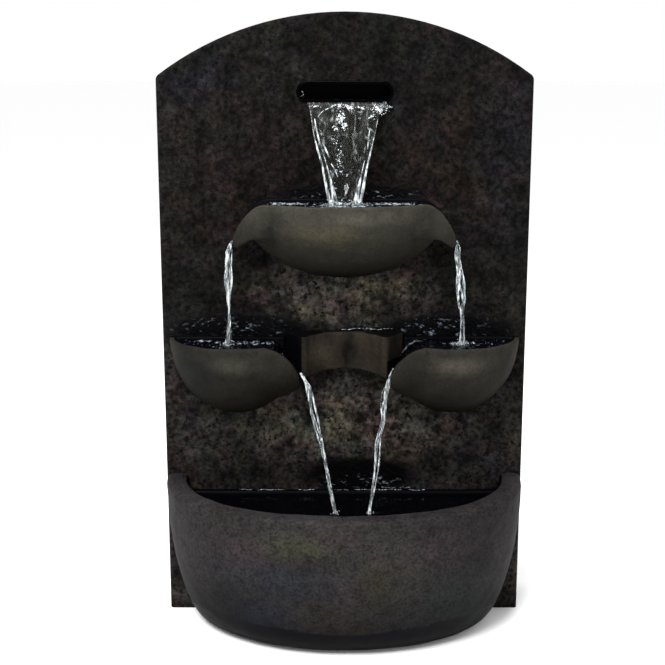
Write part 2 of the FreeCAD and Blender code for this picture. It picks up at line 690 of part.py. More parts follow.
def make_right_bowl():
    """The right-hand lower bowl, with its spout towards the middle."""
    middle = LOWER_MIDDLE_X
    low = LOWER_RIM_Z - LOWER_DEPTH - OVERRUN
    high = LOWER_RIM_Z + OVERRUN
    past = middle + LOWER_HALF + OVERRUN
    front = LOWER_REACH + OVERRUN
    tip = middle + LOWER_TIP_X
    start = middle + LOWER_DROOP_START
    keep = block(tip, past, 0, front, low, LOWER_RIM_Z)
    hull = ellipsoid(middle, LOWER_RIM_Z, LOWER_HALF, LOWER_REACH, LOWER_DEPTH).common(keep)
    droop = (start, tip, LOWER_RIM_Z, LOWER_DROOP, LOWER_DROOP_POWER, LOWER_REACH)
    under = [(middle + x, z) for x, z in LOWER_HORN_UNDER]
    ball = (middle + LOWER_HORN_BALL[0], *LOWER_HORN_BALL[1:])
    horn = horn_solid(*droop, middle + LOWER_HORN_ROOT, under, ball)
    hull = hull.fuse(horn)
    wall = block(0, start + 1, -OVERRUN, BOWL_BACK, low, high + OVERRUN)
    over = slope_cut(*droop).cut(wall)
    seat = Part.Face(bridge_plan(BRIDGE_BOTTOM - SEAT, SEAT)).extrude(V(0, 0, LOWER_DEPTH))
    sill_x = middle + LOWER_CHANNEL[-1][0]
    room = block(sill_x, past, BOWL_BACK, front, low, high)
    hollow = ellipsoid(middle, LOWER_RIM_Z, LOWER_HALF - LOWER_WALL, LOWER_REACH - LOWER_WALL,
                       LOWER_DEPTH - LOWER_WALL).common(room)
    gutter = channel(LOWER_CHANNEL, LOWER_CHANNEL_EDGE, LOWER_RIM_Z, BOWL_BACK, high, middle)
    bowl = hull.cut([over, seat, hollow, gutter])
    return bowl.cut(insert_pockets(RIGHT_BOLTS))


def half_plan(half, reach, power, z, back=0.0):
    """Half of a superellipse in plan, closed along the slab, as a wire at one height."""
    steps = 13
    points = []
    for step in range(steps):
        turn = math.pi * step / (steps - 1)
        inner = 0 < step < steps - 1
        across = math.copysign(abs(math.cos(turn)) ** (2 / power), math.cos(turn))
        ahead = math.sin(turn) ** (2 / power) if inner else 0.0
        points.append(point(half * across, back + reach * ahead, z))
    return Part.Wire([spline(points), line(points[-1], points[0])])


def basin_form(half, reach, side_drop, front_drop):
    """A solid whose sides curve in from the rim to the foot along a quarter ellipse."""
    levels = 7
    plans = []
    for level in range(levels):
        turn = math.pi / 2 * level / (levels - 1)
        share = 1 - math.sin(turn)
        power = BASIN_POWER_FOOT + (BASIN_POWER_TOP - BASIN_POWER_FOOT) * share
        drawn_in = 1 - math.cos(turn)
        plans.append(half_plan(half - side_drop * drawn_in, reach - front_drop * drawn_in, power,
                               BASIN_HEIGHT * share))
    return Part.makeLoft(plans, True)


def basin_hollow():
    """The basin's inside: straight walls that lean out from a flat floor to the rim."""
    half = BASIN_HALF - BASIN_WALL
    reach = BASIN_REACH - BASIN_WALL
    floor = half_plan(half - BASIN_INNER_SIDE_DROP, reach - BASIN_INNER_FRONT_DROP, BASIN_POWER_TOP,
                      BASIN_FLOOR, BASIN_INNER_BACK)
    rim = half_plan(half, reach, BASIN_POWER_TOP, BASIN_HEIGHT, BASIN_INNER_BACK)
    return Part.makeLoft([floor, rim], True, True)


def make_basin():
    outer = basin_form(BASIN_HALF, BASIN_REACH, BASIN_SIDE_DROP, BASIN_FRONT_DROP)
    inner = basin_hollow()
    back_wall = block(-BASIN_HALF, BASIN_HALF, -OVERRUN, BASIN_BACK_WALL, -OVERRUN, BASIN_BACK_TOP)
    basin = outer.cut(inner.cut(back_wall))
    rim = [e for e in basin.Edges if e.BoundBox.ZMin > BASIN_HEIGHT - 0.01 and e.Length > BASIN_HALF]
    basin = basin.makeFillet(BASIN_RIM_RADIUS, rim)
    cuts = insert_pockets(BASIN_BOLTS)
    cuts.append(rod_y(0, BULKHEAD_Z, -OVERRUN, BASIN_BACK_WALL + OVERRUN, BARREL_RADIUS + LOOSE))
    cuts.append(rod_y(SEAL_PLUG_X, SEAL_PLUG_Z, -OVERRUN, BASIN_BACK_WALL + OVERRUN, SEAL_PLUG_RADIUS + FIT))
    return basin.cut(cuts)


def make_spillway_box():
    """The nozzle behind the slot: a mouth through the slab, a shallow tank and a hose barb below."""
    gasket_face = SKIN_INSIDE - GASKET
    flange_back = gasket_face - FLANGE
    tank_back = flange_back - TANK_DEPTH
    half = TANK_WIDTH / 2
    z0 = SLOT_Z - TANK_HEIGHT / 2
    z1 = SLOT_Z + TANK_HEIGHT / 2
    flange = block(-half - FLANGE_MARGIN, half + FLANGE_MARGIN, gasket_face, flange_back, z0, z1)
    tank = block(-half, half, flange_back, tank_back, z0, z1)
    mouth = pill_rod(SLOT_WIDTH, SLOT_HEIGHT, SLOT_Z, MOUTH_PROUD, flange_back)
    rim = [e for e in mouth.Edges if e.BoundBox.YLength < 0.01 and e.BoundBox.YMin < Y_FACE]
    mouth = mouth.makeFillet(MOUTH_EDGE, rim)
    barb = rod_z(0, RISER_OUT, z0 - BARB_LENGTH, z0 + 1.0, HOSE_BORE - FIT)
    box = fused([flange, tank, mouth, barb])
    hollow = block(-half + TANK_WALL, half - TANK_WALL, flange_back + FLANGE - TANK_WALL, tank_back - OVERRUN,
                   z0 + TANK_WALL, z1 - TANK_WALL)
    way = pill_rod(SLOT_WIDTH - 2 * MOUTH_WALL, SLOT_HEIGHT - 2 * MOUTH_WALL, SLOT_Z,
                   MOUTH_PROUD + OVERRUN, flange_back - 1.0)
    bore = rod_z(0, RISER_OUT, z0 - BARB_LENGTH - 1.0, z0 + TANK_WALL + 1.0, TUBE_BORE)
    cuts = [hollow, way, bore]
    for x, z in spillway_screw_places():
        cuts.append(rod_y(x, z, gasket_face + 1, flange_back - 1, SHORT_SCREW_RADIUS + LOOSE))
    return box.cut(cuts)


def make_spillway_cover():
    """The lid that closes the tank from behind, with a lip that plugs into it."""
    tank_back = SKIN_INSIDE - GASKET - FLANGE - TANK_DEPTH
    half = TANK_WIDTH / 2
    lip_half = half - TANK_WALL - 0.1
    up = TANK_HEIGHT / 2
    lip_up = up - TANK_WALL - 0.1
    lid = block(-half, half, tank_back, tank_back - LID, SLOT_Z - up, SLOT_Z + up)
    lip = block(-lip_half, lip_half, tank_back + LID, tank_back, SLOT_Z - lip_up, SLOT_Z + lip_up)
    core = block(-lip_half + 2, lip_half - 2, tank_back + LID + 1, tank_back, SLOT_Z - lip_up + 2,
                 SLOT_Z + lip_up - 2)
    return fused([lid, lip.cut(core)])


def make_spillway_gasket():
    half = TANK_WIDTH / 2 + FLANGE_MARGIN
    up = TANK_HEIGHT / 2
    gasket = block(-half, half, SKIN_INSIDE, SKIN_INSIDE - GASKET, SLOT_Z - up, SLOT_Z + up)
    cuts = [pill_rod(SLOT_WIDTH + 2 * FIT, SLOT_HEIGHT + 2 * FIT, SLOT_Z, 0, -SKIN - GASKET - 1)]
    for x, z in spillway_screw_places():
        cuts.append(rod_y(x, z, 0, -SKIN - GASKET - 1, SHORT_SCREW_RADIUS + LOOSE))
    return gasket.cut(cuts)


def hose(x, out, z0, z1):
    outer = rod_z(x, out, z0, z1, HOSE_BORE + HOSE_WALL)
    return outer.cut(rod_z(x, out, z0 - 1, z1 + 1, HOSE_BORE))


SPILLWAY_BARB_END = SLOT_Z - TANK_HEIGHT / 2 - BARB_LENGTH
ELBOW_BARB_END = ELBOW_DROP + BARB_LENGTH
PUMP_FLOOR = BASIN_FLOOR + FOOT_HEIGHT
PUMP_Z = PUMP_FLOOR + PUMP_HEIGHT / 2
NOZZLE_TOP = PUMP_Z + PUMP_HEIGHT / 2 + NOZZLE_LENGTH
RISER_ENDS = (BULKHEAD_Z + ELBOW_BARB_END - HOSE_GRIP, SPILLWAY_BARB_END + HOSE_GRIP)
PUMP_HOSE_ENDS = (NOZZLE_TOP - HOSE_GRIP, BULKHEAD_Z - ELBOW_BARB_END + HOSE_GRIP)


def make_riser_hose():
    return hose(0, RISER_OUT, *RISER_ENDS)


def make_pump_hose():
    return hose(0, PUMP_OUT, *PUMP_HOSE_ENDS)


def elbow(out_start, out_corner, direction):
    """A bent tube: from a start in front of or behind, to a corner, then up or down to a barb."""
    z = BULKHEAD_Z
    end = z + direction * ELBOW_BARB_END
    shoulder = z + direction * ELBOW_DROP
    solid = fused([
        rod_y(0, z, out_start, out_corner, ELBOW_RADIUS),
        Part.makeSphere(ELBOW_RADIUS, point(0, out_corner, z)),
        rod_z(0, out_corner, min(z, shoulder), max(z, shoulder), ELBOW_RADIUS),
        rod_z(0, out_corner, min(z, end), max(z, end), HOSE_BORE - FIT),
    ])
    bores = [rod_y(0, z, out_start, out_corner, TUBE_BORE), Part.makeSphere(TUBE_BORE, point(0, out_corner, z)),
             rod_z(0, out_corner, min(z, end + direction), max(z, end + direction), TUBE_BORE)]
    return solid, bores


WET_FLANGE_OUT = BASIN_BACK_WALL + SEAL
BARREL_END = SKIN_INSIDE - SEAL - NUT_HEIGHT - SOCKET_GRIP


def make_bulkhead_fitting():
    """The elbow in the basin, with a flange and a long threaded barrel through both walls."""
    solid, bores = elbow(WET_FLANGE_OUT + BULKHEAD_FLANGE, PUMP_OUT, -1)
    flange = rod_y(0, BULKHEAD_Z, WET_FLANGE_OUT, WET_FLANGE_OUT + BULKHEAD_FLANGE, BULKHEAD_FLANGE_RADIUS)
    barrel = rod_y(0, BULKHEAD_Z, WET_FLANGE_OUT + 1, BARREL_END, BARREL_RADIUS)
    bores.append(rod_y(0, BULKHEAD_Z, PUMP_OUT, BARREL_END - 1, TUBE_BORE))
    return fused([solid, flange, barrel]).cut(bores)


def make_riser_elbow():
    """The elbow inside the slab, screwed over the barrel's end, with its barb upwards."""
    socket_mouth = BARREL_END + SOCKET_GRIP
    solid, bores = elbow(BARREL_END, RISER_OUT, 1)
    socket = rod_y(0, BULKHEAD_Z, socket_mouth, BARREL_END - 1, BARREL_RADIUS + SOCKET_WALL)
    bores.append(rod_y(0, BULKHEAD_Z, socket_mouth + 1, BARREL_END, BARREL_RADIUS + FIT))
    return fused([solid, socket]).cut(bores)


def make_bulkhead_nut():
    start = SKIN_INSIDE - SEAL
    nut = hexagon_rod(0, BULKHEAD_Z, start, start - NUT_HEIGHT + FIT, NUT_ACROSS)
    return nut.cut(rod_y(0, BULKHEAD_Z, start + 1, start - NUT_HEIGHT - 1, BARREL_RADIUS + FIT))


def make_bulkhead_seals():
    """A rubber washer on each side of the two walls."""
    wet = rod_y(0, BULKHEAD_Z, BASIN_BACK_WALL, WET_FLANGE_OUT, BULKHEAD_FLANGE_RADIUS)
    dry = rod_y(0, BULKHEAD_Z, SKIN_INSIDE, SKIN_INSIDE - SEAL, BULKHEAD_FLANGE_RADIUS)
    hole = rod_y(0, BULKHEAD_Z, WET_FLANGE_OUT + 1, SKIN_INSIDE - SEAL - 1, BARREL_RADIUS + FIT)
    return [wet.cut(hole), dry.cut(hole)]


def clamp_ring(out, z):
    """A band round a hose's end, with its screw housing at one side."""
    inner = HOSE_BORE + HOSE_WALL + FIT
    band = rod_z(0, out, z - CLAMP_WIDTH / 2, z + CLAMP_WIDTH / 2, inner + CLAMP_BAND)
    half = CLAMP_HOUSING_HALF
    middle = inner + CLAMP_HOUSING / 2
    housing = block(inner - CLAMP_BAND / 2, inner + CLAMP_HOUSING, out - half, out + half,
                    z - CLAMP_WIDTH / 2, z + CLAMP_WIDTH / 2)
    whole = fused([band, housing])
    screw_slot = block(middle - CLAMP_DRIVE / 2, middle + CLAMP_DRIVE / 2, out + half - CLAMP_DRIVE,
                       out + half + 1, z - CLAMP_WIDTH / 4, z + CLAMP_WIDTH / 4)
    return whole.cut([rod_z(0, out, z - CLAMP_WIDTH, z + CLAMP_WIDTH, inner), screw_slot])


def make_hose_clamps():
    grip = HOSE_GRIP / 2
    return [clamp_ring(RISER_OUT, RISER_ENDS[0] + grip), clamp_ring(RISER_OUT, RISER_ENDS[1] - grip),
            clamp_ring(PUMP_OUT, PUMP_HOSE_ENDS[0] + grip), clamp_ring(PUMP_OUT, PUMP_HOSE_ENDS[1] - grip)]


def make_hose_clips():
    """Open rings on feet that hold the riser off the slab's skin."""
    inner = HOSE_BORE + HOSE_WALL + FIT
    outer = inner + CLIP_WALL
    clips = []
    for z in CLIP_HEIGHTS:
        z0 = z - CLIP_WIDTH / 2
        z1 = z + CLIP_WIDTH / 2
        ring = rod_z(0, RISER_OUT, z0, z1, outer)
        stem = block(-CLIP_WALL, CLIP_WALL, SKIN_INSIDE, RISER_OUT, z0, z1)
        foot = block(-CLIP_FOOT / 2, CLIP_FOOT / 2, SKIN_INSIDE, SKIN_INSIDE - CLIP_WALL, z0, z1)
        gap = block(-inner * 0.7, inner * 0.7, RISER_OUT, RISER_OUT - outer - 1, z0 - 1, z1 + 1)
        cuts = [rod_z(0, RISER_OUT, z0 - 1, z1 + 1, inner), gap]
        for x, level in pair(CLIP_FOOT / 2 - CLIP_SCREW_INSET, z):
            cuts.append(rod_y(x, level, SKIN_INSIDE + 1, SKIN_INSIDE - CLIP_WALL - 1,
                              SHORT_SCREW_RADIUS + LOOSE))
        clips.append(fused([ring, stem, foot]).cut(cuts))
    return clips


def make_seal_plug():
    """The rubber plug that the pump's lead would pass through, out of the basin."""
    x, z, r = SEAL_PLUG_X, SEAL_PLUG_Z, SEAL_PLUG_RADIUS
    plug = fused([rod_y(x, z, BASIN_BACK_WALL, SKIN_INSIDE - GLAND_LIP_DEPTH, r),
                  rod_y(x, z, BASIN_BACK_WALL, BASIN_BACK_WALL + GLAND_LIP, r + GLAND_LIP)])
    return plug.cut(rod_y(x, z, BASIN_BACK_WALL + GLAND_LIP + 1, SKIN_INSIDE - GLAND_LIP_DEPTH - 1,
                          LEAD_RADIUS))


def make_cable_gland():
    """A grommet in the rear cover, with a lip on each side of the sheet."""
    x, z, r = GLAND_X, GLAND_Z, GLAND_RADIUS
    grommet = fused([
        rod_y(x, z, COVER_INSIDE, COVER_OUTSIDE, r),
        rod_y(x, z, COVER_INSIDE, COVER_INSIDE + GLAND_LIP_DEPTH, r + GLAND_LIP),
        rod_y(x, z, COVER_OUTSIDE, COVER_OUTSIDE - GLAND_LIP_DEPTH, r + GLAND_LIP),
    ])
    return grommet.cut(rod_y(x, z, COVER_INSIDE + OVERRUN, COVER_OUTSIDE - OVERRUN, LEAD_RADIUS))


# The pump lies along X: its motor to the right, its strainer to the left, its nozzle at x = 0
VOLUTE_LEFT = -VOLUTE_LENGTH / 2
MOTOR_LEFT = VOLUTE_LENGTH / 2
MOTOR_RIGHT = MOTOR_LEFT + MOTOR_LENGTH
CHAMBER_LEFT = VOLUTE_LEFT + VOLUTE_FACE
ROTOR_END = MOTOR_LEFT + ROTOR_LENGTH
REAR_BUSH_LEFT = ROTOR_END + ROTOR_BORE_GAP
STRAINER_RIGHT = VOLUTE_LEFT
STRAINER_LEFT = STRAINER_RIGHT - STRAINER_DEPTH


def pump_block(x0, x1, shrink=0.0):
    """A length of the pump's rounded rectangular section."""
    half = PUMP_WIDTH / 2 - shrink
    up = PUMP_HEIGHT / 2 - shrink
    length = x1 - x0
    shape = block(x0, x1, PUMP_OUT - half, PUMP_OUT + half, PUMP_Z - up, PUMP_Z + up)
    edges = [e for e in shape.Edges if abs(e.Length - length) < 0.01 and e.BoundBox.XLength > length - 0.01]
    return shape.makeFillet(max(1.0, PUMP_EDGE - shrink), edges)


def make_pump_body():
    body = pump_block(MOTOR_LEFT, MOTOR_RIGHT)
    end_edges = [e for e in body.Edges if e.BoundBox.XMin > MOTOR_RIGHT - 0.01]
    body = body.makeFillet(PUMP_EDGE * 0.6, end_edges)
    inlet = rod_x(MOTOR_RIGHT - 2, MOTOR_RIGHT + INLET_LENGTH, PUMP_OUT, PUMP_Z + INLET_RISE,
                  LEAD_RADIUS + INLET_WALL)
    body = fused([body, inlet])
    cuts = [
        rod_x(MOTOR_LEFT - 1, ROTOR_END + ROTOR_BORE_GAP, PUMP_OUT, PUMP_Z, ROTOR_RADIUS + ROTOR_BORE_GAP),
        rod_x(ROTOR_END, REAR_BUSH_LEFT + BUSH_LENGTH, PUMP_OUT, PUMP_Z, BUSH_RADIUS + FIT),
        rod_x(MOTOR_RIGHT - INLET_DEPTH, MOTOR_RIGHT + INLET_LENGTH + 1, PUMP_OUT, PUMP_Z + INLET_RISE,
              LEAD_RADIUS),
    ]
    cuts += [volute_screw_hole(out, z, SHORT_SCREW_RADIUS + FIT) for out, z in volute_screw_places()]
    return body.cut(cuts)


def volute_screw_places():
    across = PUMP_WIDTH / 2 - VOLUTE_SCREW_INSET
    up = PUMP_HEIGHT / 2 - VOLUTE_SCREW_INSET
    return [(PUMP_OUT + so * across, PUMP_Z + sz * up) for so in (-1, 1) for sz in (-1, 1)]


VOLUTE_SCREW_LENGTH = VOLUTE_LENGTH + SHORT_SCREW_LENGTH
REGISTER_INSET = STRAINER_WALL + 0.2


def volute_screw_hole(out, z, radius):
    return rod_x(VOLUTE_LEFT - REGISTER_DEPTH - 1, VOLUTE_LEFT + VOLUTE_SCREW_LENGTH + 0.5, out, z, radius)


def make_volute_screws():
    screws = []
    for out, z in volute_screw_places():
        shank = rod_x(VOLUTE_LEFT, VOLUTE_LEFT + VOLUTE_SCREW_LENGTH, out, z, SHORT_SCREW_RADIUS)
        head = rod_x(VOLUTE_LEFT - 1.8, VOLUTE_LEFT, out, z, SHORT_SCREW_RADIUS * 1.7)
        slit = block(VOLUTE_LEFT - 3.0, VOLUTE_LEFT - 1.1, out - 1.6, out + 1.6, z - 0.3, z + 0.3)
        screws.append(shank.fuse(head).cut(slit))
    return screws


def make_pump_volute():
    """The impeller's chamber, with the eye and its bush spider in front and the nozzle above."""
    casing = pump_block(VOLUTE_LEFT, MOTOR_LEFT)
    nozzle = rod_z(0, PUMP_OUT, PUMP_Z, NOZZLE_TOP, HOSE_BORE - FIT)
    collar = rod_z(0, PUMP_OUT, PUMP_Z, PUMP_Z + PUMP_HEIGHT / 2 + 2.0, HOSE_BORE + 1.5)
    ring = pump_block(VOLUTE_LEFT - REGISTER_DEPTH, VOLUTE_LEFT + 1.0, REGISTER_INSET)
    ring = ring.cut(pump_block(VOLUTE_LEFT - REGISTER_DEPTH - 1, VOLUTE_LEFT, REGISTER_INSET + 1.6))
    whole = fused([casing, nozzle, collar, ring])
    cuts = [rod_x(CHAMBER_LEFT, MOTOR_LEFT + 1, PUMP_OUT, PUMP_Z, CHAMBER_RADIUS),
            rod_x(VOLUTE_LEFT - 1, MOTOR_LEFT, PUMP_OUT, PUMP_Z, EYE_RADIUS),
            rod_z(0, PUMP_OUT, PUMP_Z, NOZZLE_TOP + 1, TUBE_BORE)]
    cuts += [volute_screw_hole(out, z, SHORT_SCREW_RADIUS + FIT) for out, z in volute_screw_places()]
    cuts += [rod_x(VOLUTE_LEFT - REGISTER_DEPTH - 1, VOLUTE_LEFT, out, z, SHORT_SCREW_RADIUS * 1.7 + LOOSE)
             for out, z in volute_screw_places()]
    whole = whole.cut(cuts)
    bush_right = VOLUTE_LEFT - BUSH_BOSS + BUSH_LENGTH
    spider = [rod_x(VOLUTE_LEFT - BUSH_BOSS, bush_right, PUMP_OUT, PUMP_Z, BUSH_RADIUS + 1.6)]
    for turn in (90, 210, 330):
        arm = block(VOLUTE_LEFT, VOLUTE_LEFT + 2.0, PUMP_OUT, PUMP_OUT + EYE_RADIUS + 0.5,
                    PUMP_Z - 0.9, PUMP_Z + 0.9)
        arm.rotate(point(0, PUMP_OUT, PUMP_Z), V(1, 0, 0), turn)
        spider.append(arm)
    whole = fused([whole] + spider)
    return whole.cut(rod_x(VOLUTE_LEFT - BUSH_BOSS - 1, bush_right + 1, PUMP_OUT, PUMP_Z, BUSH_RADIUS + FIT))


def make_shaft_bushes():
    bushes = []
    for x in (VOLUTE_LEFT - BUSH_BOSS, REAR_BUSH_LEFT):
        bush = rod_x(x, x + BUSH_LENGTH, PUMP_OUT, PUMP_Z, BUSH_RADIUS)
        bushes.append(bush.cut(rod_x(x - 1, x + BUSH_LENGTH + 1, PUMP_OUT, PUMP_Z, SHAFT_RADIUS + 0.02)))
    return bushes


def make_impeller_shaft():
    return rod_x(VOLUTE_LEFT - BUSH_BOSS + 0.2, REAR_BUSH_LEFT + BUSH_LENGTH - 0.2, PUMP_OUT, PUMP_Z,
                 SHAFT_RADIUS)


def make_impeller():
    """The magnet rotor with its disc and blades, turning on the fixed shaft."""
    disc_left = MOTOR_LEFT - DISC - SEAT
    blade_left = disc_left - BLADE_DEPTH
    hub_left = VOLUTE_LEFT - BUSH_BOSS + BUSH_LENGTH + SEAT
    parts = [rod_x(disc_left, ROTOR_END - SEAT, PUMP_OUT, PUMP_Z, ROTOR_RADIUS),
             rod_x(disc_left, disc_left + DISC, PUMP_OUT, PUMP_Z, BLADE_RADIUS),
             rod_x(hub_left, disc_left + 1, PUMP_OUT, PUMP_Z, HUB_RADIUS)]
    for count in range(BLADE_COUNT):
        blade = block(blade_left, disc_left + 1, PUMP_OUT, PUMP_OUT + BLADE_RADIUS, PUMP_Z - BLADE / 2,
                      PUMP_Z + BLADE / 2)
        blade.rotate(point(0, PUMP_OUT, PUMP_Z), V(1, 0, 0), 360 * count / BLADE_COUNT)
        parts.append(blade)
    impeller = fused(parts)
    return impeller.cut(rod_x(hub_left - 1, ROTOR_END + 1, PUMP_OUT, PUMP_Z, SHAFT_RADIUS + FIT))


def make_strainer():
    """The cap over the intake: it slips over the volute's register and pulls off to the left."""
    cap = pump_block(STRAINER_LEFT, STRAINER_RIGHT)
    face_edges = [e for e in cap.Edges if e.BoundBox.XMax < STRAINER_LEFT + 0.01]
    cap = cap.makeFillet(1.5, face_edges)
    cuts = [pump_block(STRAINER_LEFT + STRAINER_WALL, STRAINER_RIGHT + 1, STRAINER_WALL),
            rod_x(STRAINER_LEFT - 1, STRAINER_LEFT + STRAINER_WALL + 1, PUMP_OUT, PUMP_Z, DIAL_PIN + FIT)]
    for side in (-1, 1):
        cuts.append(rod_x(STRAINER_LEFT - 1, STRAINER_LEFT + STRAINER_WALL + 1, PUMP_OUT,
                          PUMP_Z + side * PORT_OFFSET, PORT_RADIUS))
        middle = PUMP_OUT + side * STRAINER_SLOT_OFFSET
        for up in (-1, 1):
            z_mid = PUMP_Z + up * STRAINER_SLOT_RISE
            cuts.append(block(STRAINER_LEFT - 1, STRAINER_LEFT + STRAINER_WALL + 1, middle - STRAINER_SLOT / 2,
                              middle + STRAINER_SLOT / 2, z_mid - STRAINER_SLOT_LENGTH / 2,
                              z_mid + STRAINER_SLOT_LENGTH / 2))
    return cap.cut(cuts)


def make_flow_dial():
    """The dial on the strainer's face: two ports that line up with the cap's, a grip and a snap pin."""
    face = STRAINER_LEFT - SEAT
    inside = STRAINER_LEFT + STRAINER_WALL + SEAT
    disc = rod_x(face - DIAL, face, PUMP_OUT, PUMP_Z, DIAL_RADIUS)
    rim = [e for e in disc.Edges if e.BoundBox.XMax < face - DIAL + 0.01]
    disc = disc.makeFillet(0.8, rim)
    grip = block(face - DIAL - DIAL_GRIP_HEIGHT, face - 1, PUMP_OUT - DIAL_GRIP_WIDTH / 2,
                 PUMP_OUT + DIAL_GRIP_WIDTH / 2, PUMP_Z - 4.5, PUMP_Z + 4.5)
    pin = rod_x(face - 1, inside + DIAL_COLLAR_LENGTH, PUMP_OUT, PUMP_Z, DIAL_PIN)
    collar = rod_x(inside, inside + DIAL_COLLAR_LENGTH, PUMP_OUT, PUMP_Z, DIAL_PIN + DIAL_COLLAR)
    ports = [rod_x(face - DIAL - 1, face + 1, PUMP_OUT, PUMP_Z + side * PORT_OFFSET, PORT_RADIUS)
             for side in (-1, 1)]
    return fused([disc, grip, pin, collar]).cut(ports)


def make_suction_feet():
    feet = []
    for x in (VOLUTE_LEFT + FOOT_INSET_VOLUTE, MOTOR_RIGHT - FOOT_INSET_MOTOR):
        for side in (-1, 1):
            out = PUMP_OUT + side * (PUMP_WIDTH / 2 - FOOT_INSET_SIDE)
            foot = Part.makeCone(FOOT_RADIUS, FOOT_RADIUS * 0.6, FOOT_HEIGHT, point(x, out, BASIN_FLOOR))
            feet.append(foot)
    return feet


def write(name, shape):
    """One file for each node, as one solid or a group of separate ones."""
    if isinstance(shape, list):
        shape = Part.makeCompound(shape)
    solids = shape.Solids
    sound = all(s.isValid() for s in solids)
    print(f"{name:20s} solids {len(solids):2d}  sound {sound}  {sum(s.Volume for s in solids) / 1000:9.1f} cm3")
    if len(solids) == 1:
        shape = solids[0]
    shape.exportStep(f"parts/{name}.step")


def main():
    right_bowl = make_right_bowl()
    cover_screws = make_screws(cover_screw_places(), COVER_OUTSIDE, SCREW_LENGTH, SCREW_RADIUS,
                               SCREW_HEAD_RADIUS, SCREW_HEAD)
    hanger_screws = make_screws(plate_screw_places(), COVER_OUTSIDE - PLATE_SHEET, SCREW_LENGTH, SCREW_RADIUS,
                                SCREW_HEAD_RADIUS, SCREW_HEAD)
    short = (SHORT_SCREW_LENGTH, SHORT_SCREW_RADIUS, SHORT_SCREW_RADIUS * 2, 1.8)
    nodes = {
        "wall_panel": make_wall_panel(),
        "rear_cover": make_rear_cover(),
        "rear_cover_screws": cover_screws,
        "service_hatch": make_service_hatch(),
        "hatch_screws": make_screws(hatch_screw_places(), COVER_OUTSIDE - HATCH_SHEET, *short),
        "hanger_plates": make_hanger_plates(),
        "hanger_screws": hanger_screws,
        "basin": make_basin(),
        "upper_bowl": make_upper_bowl(),
        "left_bowl": mirrored(right_bowl),
        "right_bowl": right_bowl,
        "bowl_bridge": make_bowl_bridge(),
        "casting_bolts": make_casting_bolts(),
        "casting_washers": make_casting_washers(),
        "threaded_inserts": make_threaded_inserts(),
        "spillway_box": make_spillway_box(),
        "spillway_cover": make_spillway_cover(),
        "spillway_gasket": make_spillway_gasket(),
        "spillway_screws": make_screws(spillway_screw_places(), SKIN_INSIDE - GASKET - FLANGE, *short),
        "riser_hose": make_riser_hose(),
        "riser_elbow": make_riser_elbow(),
        "hose_clips": make_hose_clips(),
        "clip_screws": make_screws(clip_screw_places(), SKIN_INSIDE - CLIP_WALL, *short),
        "hose_clamps": make_hose_clamps(),
        "bulkhead_fitting": make_bulkhead_fitting(),
        "bulkhead_nut": make_bulkhead_nut(),
        "bulkhead_seals": make_bulkhead_seals(),
        "pump_hose": make_pump_hose(),
        "pump_body": make_pump_body(),
        "pump_volute": make_pump_volute(),
        "volute_screws": make_volute_screws(),
        "strainer": make_strainer(),
        "flow_dial": make_flow_dial(),
        "impeller": make_impeller(),
        "impeller_shaft": make_impeller_shaft(),
        "shaft_bushes": make_shaft_bushes(),
        "suction_feet": make_suction_feet(),
        "lead_seal": make_seal_plug(),
        "lead_grommet": make_cable_gland(),
    }
    for name, shape in nodes.items():
        write(name, shape)


if __name__ == "__main__":
    main()
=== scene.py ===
import json
import math
import random

import bmesh
import bpy
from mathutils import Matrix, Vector, noise


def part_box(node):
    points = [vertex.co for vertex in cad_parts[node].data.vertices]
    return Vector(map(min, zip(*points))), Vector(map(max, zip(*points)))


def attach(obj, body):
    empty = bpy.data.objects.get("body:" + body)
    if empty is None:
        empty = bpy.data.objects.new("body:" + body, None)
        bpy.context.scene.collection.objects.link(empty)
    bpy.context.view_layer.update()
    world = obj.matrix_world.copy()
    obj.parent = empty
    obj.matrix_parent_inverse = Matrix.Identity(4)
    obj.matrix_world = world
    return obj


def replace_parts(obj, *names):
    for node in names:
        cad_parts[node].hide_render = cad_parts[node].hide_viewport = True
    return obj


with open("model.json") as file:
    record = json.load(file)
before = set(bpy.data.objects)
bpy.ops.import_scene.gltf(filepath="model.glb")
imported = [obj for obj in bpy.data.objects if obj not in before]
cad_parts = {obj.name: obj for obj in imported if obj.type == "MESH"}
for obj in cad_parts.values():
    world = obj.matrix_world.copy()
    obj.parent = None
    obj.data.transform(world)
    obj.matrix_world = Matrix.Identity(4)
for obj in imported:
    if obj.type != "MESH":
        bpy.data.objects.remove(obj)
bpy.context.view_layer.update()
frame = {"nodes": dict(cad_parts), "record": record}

bl_info = {
    "name": "Garden wall fountain",
    "version": (1, 0, 0),
    "blender": (4, 5, 0),
    "location": "View3D > Sidebar > Fountain",
    "description": "Dresses a tiered wall fountain: cast stone, running water and its hidden pump",
    "category": "Object",
}

BODY = "fountain"
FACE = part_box("upper_bowl")[1].y
MM = 0.001
MM_PER_M = 1000
WHITE = (1, 1, 1, 1)

